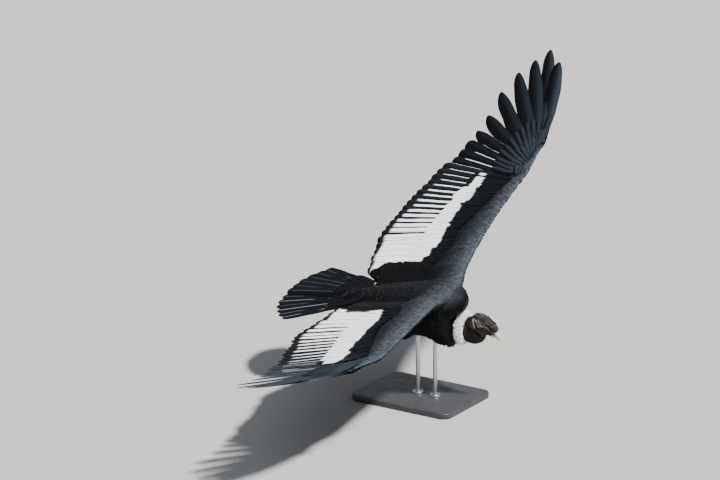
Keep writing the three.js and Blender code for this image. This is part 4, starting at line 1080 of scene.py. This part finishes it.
# %% Feathered thighs
for side, name in ((1, "left"), (-1, "right")):
    t, turn = np.meshgrid(np.linspace(0.02, 0.97, 16), np.arange(20) / 20 * ROUND)
    t = (t + rng.normal(0, 0.012, t.shape)).clip(0.01, 0.99).reshape(-1)
    turn = (turn + rng.normal(0, 0.1, turn.shape)).reshape(-1)
    total = len(t)
    here, normal, lie = surface(tube(THIGH, grow=-4, side=side), t, turn)
    normal = facing(normal, here - between(THIGH, t)[..., :3] * [1, side, 1])
    numbers = dict(tone=np.full(total, 0.03), edge=rng.uniform(0, 0.3, total), seed=rng.random(total))
    sizes = (np.full(total, 17.0), np.full(total, 29.0))
    roots = patches(turn / 7, t, (0.985, 0.0 if side > 0 else 0.5), (0.01, 0.45))
    lifts = rng.normal(10, 3, total)
    tufts(f"{name}_thigh_feathers", (f"thigh_{name}",), (here, normal, lie), sizes, lifts, numbers, roots)

# %% The skin takes the painted light of the feathers over it
roots = np.concatenate(coat_roots)
nearest = kdtree.KDTree(len(roots))
for i, root in enumerate(roots):
    nearest.insert(root[:3], i)
nearest.balance()
store(skin.data, tone=[roots[nearest.find(vert.co)[1], 3] for vert in skin.data.vertices])
print("skin toned by", len(roots), "feather roots")

# %% [markdown]
# ## Ruff
# The white collar is down: thousands of soft, narrow locks that stand out all round a ring and bend
# back a little. They are dense, so that the ring reads as one fluffy roll with a broken edge.

# %% Ruff of down
LOCKS, RING_RADIUS, RING_THICK = 6900, 47, 12


def ruff_surface(turn, around):
    radius = RING_RADIUS + (RING_THICK - 3) * np.cos(around)
    ahead = (RING_THICK - 3) * np.sin(around)
    return moved(np.stack([ahead, radius * np.cos(turn), radius * np.sin(turn)], -1), RUFF)


turn = rng.uniform(0, ROUND, LOCKS)
around = rng.uniform(-2.5, 2.5, LOCKS)
here, normal, _ = surface(ruff_surface, turn, around)
middle = moved(np.stack([0 * turn, RING_RADIUS * np.cos(turn), RING_RADIUS * np.sin(turn)], -1), RUFF)
normal = facing(normal, here - middle)
radial = (middle - np.array(RUFF)[:3, 3]) / RING_RADIUS
grow = unit(normal * 0.75 + radial * 0.65 + rng.normal(0, 0.3, (LOCKS, 3)))
swirl = unit(np.cross(grow, rng.normal(0, 1, (LOCKS, 3))))
lengths = rng.normal(17, 2.6, LOCKS) * np.interp(np.cos(around), [-1, 0, 1], [0.55, 0.8, 1.25])
sizes = (rng.uniform(2.2, 4.2, LOCKS), lengths)
roots = patches(turn / ROUND, (around + 2.5) / 5, (0.0, 0.0), (1.0, 0.99))
numbers = dict(seed=rng.random(LOCKS))
tufts(
    "ruff_down", ("ruff",), (here - grow * 3, swirl, grow), sizes, np.zeros(LOCKS), numbers, roots,
    pointed=1.0, curve=0.3, thick=0.35, plate=down_plate,
)
core = bmesh.new()
for vert in bmesh.ops.create_circle(core, segments=20, radius=1)["verts"]:
    angle = math.atan2(vert.co.y, vert.co.x)
    inner = RING_THICK * 0.86
    vert.co = Vector((inner * math.sin(angle), 0, RING_RADIUS + inner * math.cos(angle)))
geom = core.verts[:] + core.edges[:]
bmesh.ops.spin(core, geom=geom, axis=(1, 0, 0), cent=(0, 0, 0), angle=ROUND, steps=64, use_merge=True)
bmesh.ops.transform(core, matrix=BIRD @ RUFF, verts=core.verts[:])
bmesh.ops.recalc_face_normals(core, faces=core.faces[:])
new_piece("ruff_core", mesh_from(core, "ruff_core"), down_finish, "ruff_down", "ruff")

# %% [markdown]
# ## Bill, comb and eyes
# The bill is horn: black where it leaves the face and ivory at its hook. Each half is a rolled tube
# that stores how far from its root each point lies, and the finish turns from black to ivory by it.

# %% Bill
horn_finish = Finish("bill_horn", (0.7, 0.62, 0.46), 0.3, Specular_IOR_Level=0.5)
cloudy = horn_finish.mottled(160.0, 5.0)
ivory = cloudy.mix((0.50, 0.42, 0.28), (0.78, 0.71, 0.56))
black = cloudy.mix((0.012, 0.011, 0.011), (0.04, 0.035, 0.032))
out_share = (read(horn_finish, "along")[0] + (cloudy - 0.5) * 0.22).band(0.42, 0.6)
horn_finish.set(Base_Color=out_share.mix(black, ivory), Roughness=cloudy.band(-0.6, 1.9))
horn_finish.bump(cloudy, 0.25, 0.0004)


def hooked(t, turn):
    """The upper bill: a ridge along its top and a cutting edge that hangs a little."""
    middle, wide, high = np.split(between(UPPER_BILL, t), [3, 4], axis=-1)
    over = np.cross(heading(UPPER_BILL, t), [0, 1.0, 0])
    pinch = 1 - 0.22 * np.clip(np.sin(turn), 0, 1) ** 2 * ease(t, 0.2, 0.8)
    cap = np.sqrt(np.clip((1 - t) / 0.06, 0.02, 1))
    across = np.array([0, 1.0, 0]) * wide * (np.cos(turn) * pinch * cap)[:, None]
    return middle + across + over * high * (np.sin(turn) * cap)[:, None]


def lower(t, turn):
    """The lower bill, its tip rounded off."""
    return swelled(LOWER_BILL, t, turn, np.sqrt(np.clip((1 - t) / 0.22, 0.01, 1)), grow=-0.4)


HALVES = {"bill_upper": (hooked, 36, 48, UPPER_BILL), "bill_lower": (lower, 32, 40, LOWER_BILL)}
for half, (point_of, around, along, rows) in HALVES.items():
    piece = rolled_piece(f"{half}_horn", point_of, around, along, horn_finish, "bill_horn", half, HEAD)
    local = moved(points_of(piece.data.vertices), to_head)
    line = between(rows, np.linspace(0, 1, 60))[:, :3]
    store(piece.data, along=np.argmin(((local[:, None] - line[None]) ** 2).sum(-1), axis=1) / 59)
print("bill with", len(piece.data.polygons), "faces in its lower half")

# %% [markdown]
# The comb is a thick fleshy blade from brow to crown, wrinkled on the slant, with a painted highlight
# along its rim. Its wrinkles are sums of bent waves. The same waves lift the surface and, stored on
# its points, paint pale highlights on the crests.

# %% Comb
comb_finish = Finish("comb_skin", (0.03, 0.03, 0.032), 0.6, Specular_IOR_Level=0.3)
crease, rim = read(comb_finish, "crease", "rim")
pores = comb_finish.mottled(380.0, 5.0)
worn = pores.band(0.25, 0.6)
# painted highlights: pale lines of light on the wrinkle crests and along the top rim, broken up by the pore
# noise
flesh = (crease * worn).mix(pores.mix((0.010, 0.010, 0.011), (0.045, 0.045, 0.049)), (0.62, 0.61, 0.61))
comb_finish.set(Base_Color=(rim * worn).mix(flesh, (0.62, 0.60, 0.58)))
comb_finish.bump(pores, 0.5, 0.0005)
COMB = dict(rear=-46, front=72, high=72, base=12, half=10)


def comb_section(t):
    """Place, middle height, half width and half height of the comb, along it."""
    high = (COMB["high"] - COMB["base"]) / 2 * np.sin(math.pi * blend(0.1, 0.92, t)) ** 0.6
    half = COMB["half"] * np.sin(math.pi * blend(0.12, 0.87, t))
    ends = np.sqrt(np.clip(np.minimum(t, 1 - t) / 0.07, 0.01, 1))
    spot, middle = blend(COMB["rear"], COMB["front"], t), COMB["base"] + high * 0.9
    return spot, middle, half * ends, high * (0.5 + 0.5 * ends)


def slanted_crease(x, z, y):
    warp = 1.5 * np.sin(0.075 * x + 0.7 * y) + 0.9 * np.sin(z * 0.21 + 0.11 * x)
    warp = warp + 0.5 * np.sin(0.31 * x - 0.17 * z)
    lines = 1 - np.abs(np.sin(0.29 * (x * 0.38 + z) + warp * 0.62)) * 1.25
    fine = 1 - 2 * np.abs(np.sin(0.62 * (x * 0.2 + z) + 1.7 * warp))
    return lines + 0.35 * fine + 0.16 * np.sin(0.9 * x - 0.5 * z + 3 * warp)


def comb_points(t, turn):
    x, middle, half, high = comb_section(t)
    y, z = np.cos(turn) * half, middle + np.sin(turn) * high
    lumps = 1 + 0.14 * slanted_crease(x, z, np.sign(y)) + 0.06 * np.sin(x * 0.21 + 2 * np.sin(turn))
    scallop = 1 + 0.02 * (np.sin(x * 0.26) + 0.6 * np.sin(x * 0.61 + 1)) * ease(np.sin(turn), 0.5, 0.9)
    return np.stack([x, y * lumps, middle + np.sin(turn) * high * scallop], -1)


comb = rolled_piece("fleshy_comb", comb_points, 180, 190, comb_finish, "comb_skin", "comb", HEAD)
x, y, z = moved(points_of(comb.data.vertices), to_head).T
_, middle, _, high = comb_section(np.clip((x - COMB["rear"]) / (COMB["front"] - COMB["rear"]), 0, 1))
# the painted highlight lies on the crests of the slanted wrinkles, and along the top edge of the comb
crease = np.clip(slanted_crease(x, z, np.sign(y)) * 1.6 - 0.68, 0, 1)
store(comb.data, crease=crease, rim=ease((z - middle) / high, 0.86, 0.97) * 0.8)
print("comb:", len(comb.data.polygons), "faces")

# %% [markdown]
# Each eye is a ball with a dark brown ring round its wide pupil and a little wet gloss. How far a
# point turns away from the middle of the pupil is stored on it, and the shader draws the ring by it.

# %% Eyes
eye_finish = Finish("eye", (0.02, 0.01, 0.005), 0.12, Specular_IOR_Level=0.3)
eye_finish.set(Coat_Weight=0.15, Coat_Roughness=0.03)
iris = eye_finish.mottled(900.0, 2.0).mix((0.035, 0.016, 0.008), (0.09, 0.045, 0.024))
eye_finish.set(Base_Color=read(eye_finish, "out")[0].band(0.90, 0.93).mix(iris, (0.002, 0.002, 0.002)))
for side, name in ((1, "left"), (-1, "right")):
    bm = bmesh.new()
    bmesh.ops.create_uvsphere(bm, u_segments=32, v_segments=24, radius=EYE_RADIUS)
    out = points_of(bm.verts) / EYE_RADIUS @ Vector((0.12, side, 0.05)).normalized()
    bmesh.ops.translate(bm, vec=(EYE.x, side * EYE.y, EYE.z), verts=bm.verts[:])
    bmesh.ops.transform(bm, matrix=BIRD @ HEAD, verts=bm.verts[:])
    eye = new_piece(f"{name}_eye", mesh_from(bm, f"{name}_eye"), eye_finish, "eye", f"eye_{name}")
    store(eye.data, out=out)
print("head finished")

# %% [markdown]
# ## Feet folded back
# In flight the feet lie under the tail, half closed. Shank and toes are ringed with broad plates,
# made as a regular swelling along each tube, and every toe ends in a curved dark claw.

# %% Legs, toes and claws
leg_finish = Finish("leg_scales", (0.05, 0.045, 0.04), 0.55, Specular_IOR_Level=0.4)
leg_finish.set(Base_Color=leg_finish.mottled(240.0).mix((0.035, 0.032, 0.030), (0.115, 0.105, 0.095)))
leg_finish.bump(leg_finish.pattern(cells, Scale=260.0)[0], 0.6, 0.0008)
claw_finish = Finish("claw_horn", (0.02, 0.018, 0.017), 0.3, Specular_IOR_Level=0.5)
claw_finish.set(Base_Color=claw_finish.mottled(300.0, 3.0).mix((0.010, 0.009, 0.009), (0.045, 0.04, 0.036)))

# each toe's spread in degrees, its length, its claw's length and its rise in degrees
TOES = {
    "inner": (-16, 78, 26, 4), "middle": (2, 112, 28, 2),
    "outer": (20, 80, 24, 4), "hind": (6, 44, 22, -30),
}
foot_x, foot_y, foot_z = SHANK[-1][1:4]
SOLE = [
    [0, foot_x + 6, foot_y, foot_z - 2, 10, 9], [0.5, foot_x - 12, foot_y, foot_z, 14, 9.5],
    [1, foot_x - 26, foot_y, foot_z, 11, 7],
]


def toe(spread, rise, start, end, thick, side, rings, curve=0.0):
    """A toe or claw: its radius swells at each plate and at the joints."""
    def points(t, turn):
        reach = blend(start, end, t)
        x = foot_x - reach * math.cos(math.radians(spread))
        y = foot_y + reach * math.sin(math.radians(spread))
        z = foot_z + reach * math.sin(math.radians(rise)) - 14 * (reach / 130) ** 2 - curve * t**2
        radius = blend(*thick, t) * np.sqrt(np.clip(np.minimum(t + 0.15, 1.02 - t) / 0.12, 0.05, 1))
        if rings:
            radius = radius * (1 + 0.05 * np.abs(np.sin(math.pi * rings * t)))
            radius = radius * (1 + 0.12 * np.cos(3 * ROUND * t) ** 4)
        return np.stack([x, (y + np.cos(turn) * radius) * side, z + np.sin(turn) * radius], -1)

    return points


for side, name in ((1, "left"), (-1, "right")):
    def shank(t, turn):
        return swelled(SHANK, t, turn, 1 + 0.045 * np.abs(np.sin(math.pi * 11 * t)), side=side)

    rolled_piece(f"{name}_shank", shank, 24, 88, leg_finish, "leg_scales", f"shank_{name}")
    bm = bmesh.new()
    rolled(bm, tube(SOLE, side=side), 24, 16)
    for spread, length, claw, rise in TOES.values():
        rolled(bm, toe(spread, rise, 0, length, (7.8, 5.6), side, round(length / 7)), 18, 56)
    new_piece(f"{name}_foot", mesh_from(bm, f"{name}_foot"), leg_finish, "leg_scales", f"foot_{name}")
    for which, (spread, length, claw, rise) in TOES.items():
        points = toe(spread, rise, length - 2, length + claw, (4.8, 0.8), side, 0, curve=2.5)
        rolled_piece(f"{name}_claw_{which}", points, 18, 20, claw_finish, "claw_horn", f"claw_{name}_{which}")
print("feet finished")

# %% [markdown]
# ## Stand
# The stand is as plain as a museum's: a dark painted plate with softened edges, and two steel rods
# that stand in round feet. The plate starts as a cube and the rods as cones, and bevels do the rest.

# %% Stand
paint_finish = Finish("stand_paint", (0.03, 0.031, 0.034), 0.45, Specular_IOR_Level=0.5)
dust = paint_finish.mottled(30.0, 8.0)
paint_finish.set(Base_Color=dust.mix((0.024, 0.025, 0.027), (0.042, 0.043, 0.046)))
paint_finish.set(Roughness=dust.band(-1.2, 2.6))
paint_finish.bump(paint_finish.mottled(500.0, 2.0), 0.12, 0.0004)
steel_finish = Finish("stand_steel", (0.55, 0.56, 0.58), 0.3, Metallic=1.0)
brushed = steel_finish.mottled(90.0, 6.0)
steel_finish.set(Base_Color=brushed.mix((0.48, 0.49, 0.51), (0.62, 0.63, 0.65)))
steel_finish.set(Roughness=brushed.band(-0.7, 2.4))
PLATE = (0.480, 0.360, 0.024)
CORNER, EDGE_BEVEL, FOOT_BEVEL = 0.040, 0.0035, 0.0012
ROD_RADIUS, FOOT_RADII, FOOT_HIGH = 0.009, (0.024, 0.0225), 0.007
RODS = {"front": 0.072, "rear": -0.012}


def drop(edge):
    """How much lower one end of an edge is than the other."""
    return abs(edge.verts[0].co.z - edge.verts[1].co.z)


def bevelled(bm, edges, offset, segments):
    how = dict(offset=offset, segments=segments, profile=0.5, affect="EDGES", material=-1)
    bmesh.ops.bevel(bm, geom=edges, **how)


def stand_piece(bm, name, finish, slot, node):
    piece = new_piece(name, mesh_from(bm, name), finish, slot, node)
    piece.data.set_sharp_from_angle(angle=math.radians(35))


bm = bmesh.new()
bmesh.ops.create_cube(bm, size=1)
bmesh.ops.scale(bm, vec=PLATE, verts=bm.verts[:])
bmesh.ops.translate(bm, vec=(0, 0, PLATE[2] / 2), verts=bm.verts[:])
bevelled(bm, [edge for edge in bm.edges if drop(edge) > 0.01], CORNER, 10)
bevelled(bm, [edge for edge in bm.edges if drop(edge) < 1e-6], EDGE_BEVEL, 3)
stand_piece(bm, "stand_plate", paint_finish, "stand_paint", "stand_base")
for name, x in RODS.items():
    low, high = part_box(f"stand_rod_{name}")
    bm = bmesh.new()
    rod = dict(radius1=ROD_RADIUS, radius2=ROD_RADIUS, depth=high[2] - low[2] - 0.002)
    bmesh.ops.create_cone(bm, cap_ends=True, segments=48, **rod)
    bmesh.ops.translate(bm, vec=(x, 0, (high[2] + low[2]) / 2 - 0.001), verts=bm.verts[:])
    foot = dict(radius1=FOOT_RADII[0], radius2=FOOT_RADII[1], depth=FOOT_HIGH)
    foot = bmesh.ops.create_cone(bm, cap_ends=True, segments=64, **foot)["verts"]
    bmesh.ops.translate(bm, vec=(x, 0, low[2] + FOOT_HIGH / 2), verts=foot)
    rims = list({edge for vert in foot for edge in vert.link_edges if drop(edge) < 1e-6})
    bevelled(bm, rims, FOOT_BEVEL, 3)
    stand_piece(bm, f"stand_rod_{name}_steel", steel_finish, "stand_steel", f"stand_rod_{name}")
print("stand finished")

# %% [markdown]
# ## Room, light and camera
# The floor is wide and pale. A soft key light comes from high in front, so that the wings throw
# their shade on the floor, and a weaker lamp fills from the bird's right. The camera looks from
# there too, from above, at the angle and distance found from the picture.

# %% Floor and light
floor_finish = Finish("floor", (0.38, 0.375, 0.366), 0.8, Specular_IOR_Level=0.2)
bm = bmesh.new()
bmesh.ops.create_grid(bm, x_segments=2, y_segments=2, size=30)
floor = in_room("floor", mesh_from(bm, "floor"))
floor.data.materials.append(floor_finish.material)
floor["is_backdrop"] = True
world = bpy.data.worlds.new("room")
bpy.context.scene.world = world
world.use_nodes = True
world.node_tree.nodes["Background"].inputs["Color"].default_value = (0.86, 0.91, 1.0, 1)
world.node_tree.nodes["Background"].inputs["Strength"].default_value = 0.4


def lamp(kind, name, spot, power, color):
    light = bpy.data.lights.new(name, kind)
    light.energy, light.color = power, color
    made = in_room(name, light)
    made.location = spot
    made.rotation_euler = (Vector((0, 0, 0.5)) - Vector(spot)).to_track_quat("-Z", "Y").to_euler()
    return light


lamp("SUN", "key", (2.6, -0.4, 4.6), 9.5, (1.0, 0.985, 0.96)).angle = math.radians(6.0)
lamp("AREA", "fill", (1.5, -4.5, 3.0), 40, (0.85, 0.92, 1.0)).size = 3.5
print("lights:", [light.name for light in bpy.data.lights])

# %% Camera
FOCAL, SENSOR, DISTANCE = 183.0, 36, 15.0
IMAGE_WIDE, IMAGE_HIGH = 720, 480
BIRD_PIXEL = (443.0, 290.1)  # where the shoulders' middle lies in the picture, from its upper left
right = Vector((0.832, 0.462, -0.309))
up = Vector((0.027, 0.522, 0.853))
turn = TURN.to_3x3()
back = turn @ right.cross(up).normalized()
right = (turn @ right).normalized()
up = back.cross(right).normalized()
spot = BIRD.translation + back * DISTANCE
aside, above = BIRD_PIXEL[0] - IMAGE_WIDE / 2, IMAGE_HIGH / 2 - BIRD_PIXEL[1]
forward = (-back * FOCAL / SENSOR * IMAGE_WIDE - right * aside - up * above).normalized()
side_way = forward.cross(up).normalized()
frame_up = side_way.cross(forward)
camera_data = bpy.data.cameras.new("camera")
camera_data.lens, camera_data.sensor_width, camera_data.clip_end = FOCAL, SENSOR, 200
camera = in_room("camera", camera_data)
camera.matrix_world = Matrix.Translation(spot) @ Matrix((side_way, frame_up, -forward)).transposed().to_4x4()
bpy.context.scene.camera = camera
print("camera at", [round(value, 3) for value in spot])

# %% [markdown]
# ## Size
# The box of the dressed bird is printed beside the box of the solids.

# %% Print both boxes
bpy.context.view_layer.update()
seen_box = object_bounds()
sizes = {"cad": [list(map(float, corner)) for corner in cad_box], "visual": [list(map(float, corner)) for corner in seen_box]}
print(sizes)
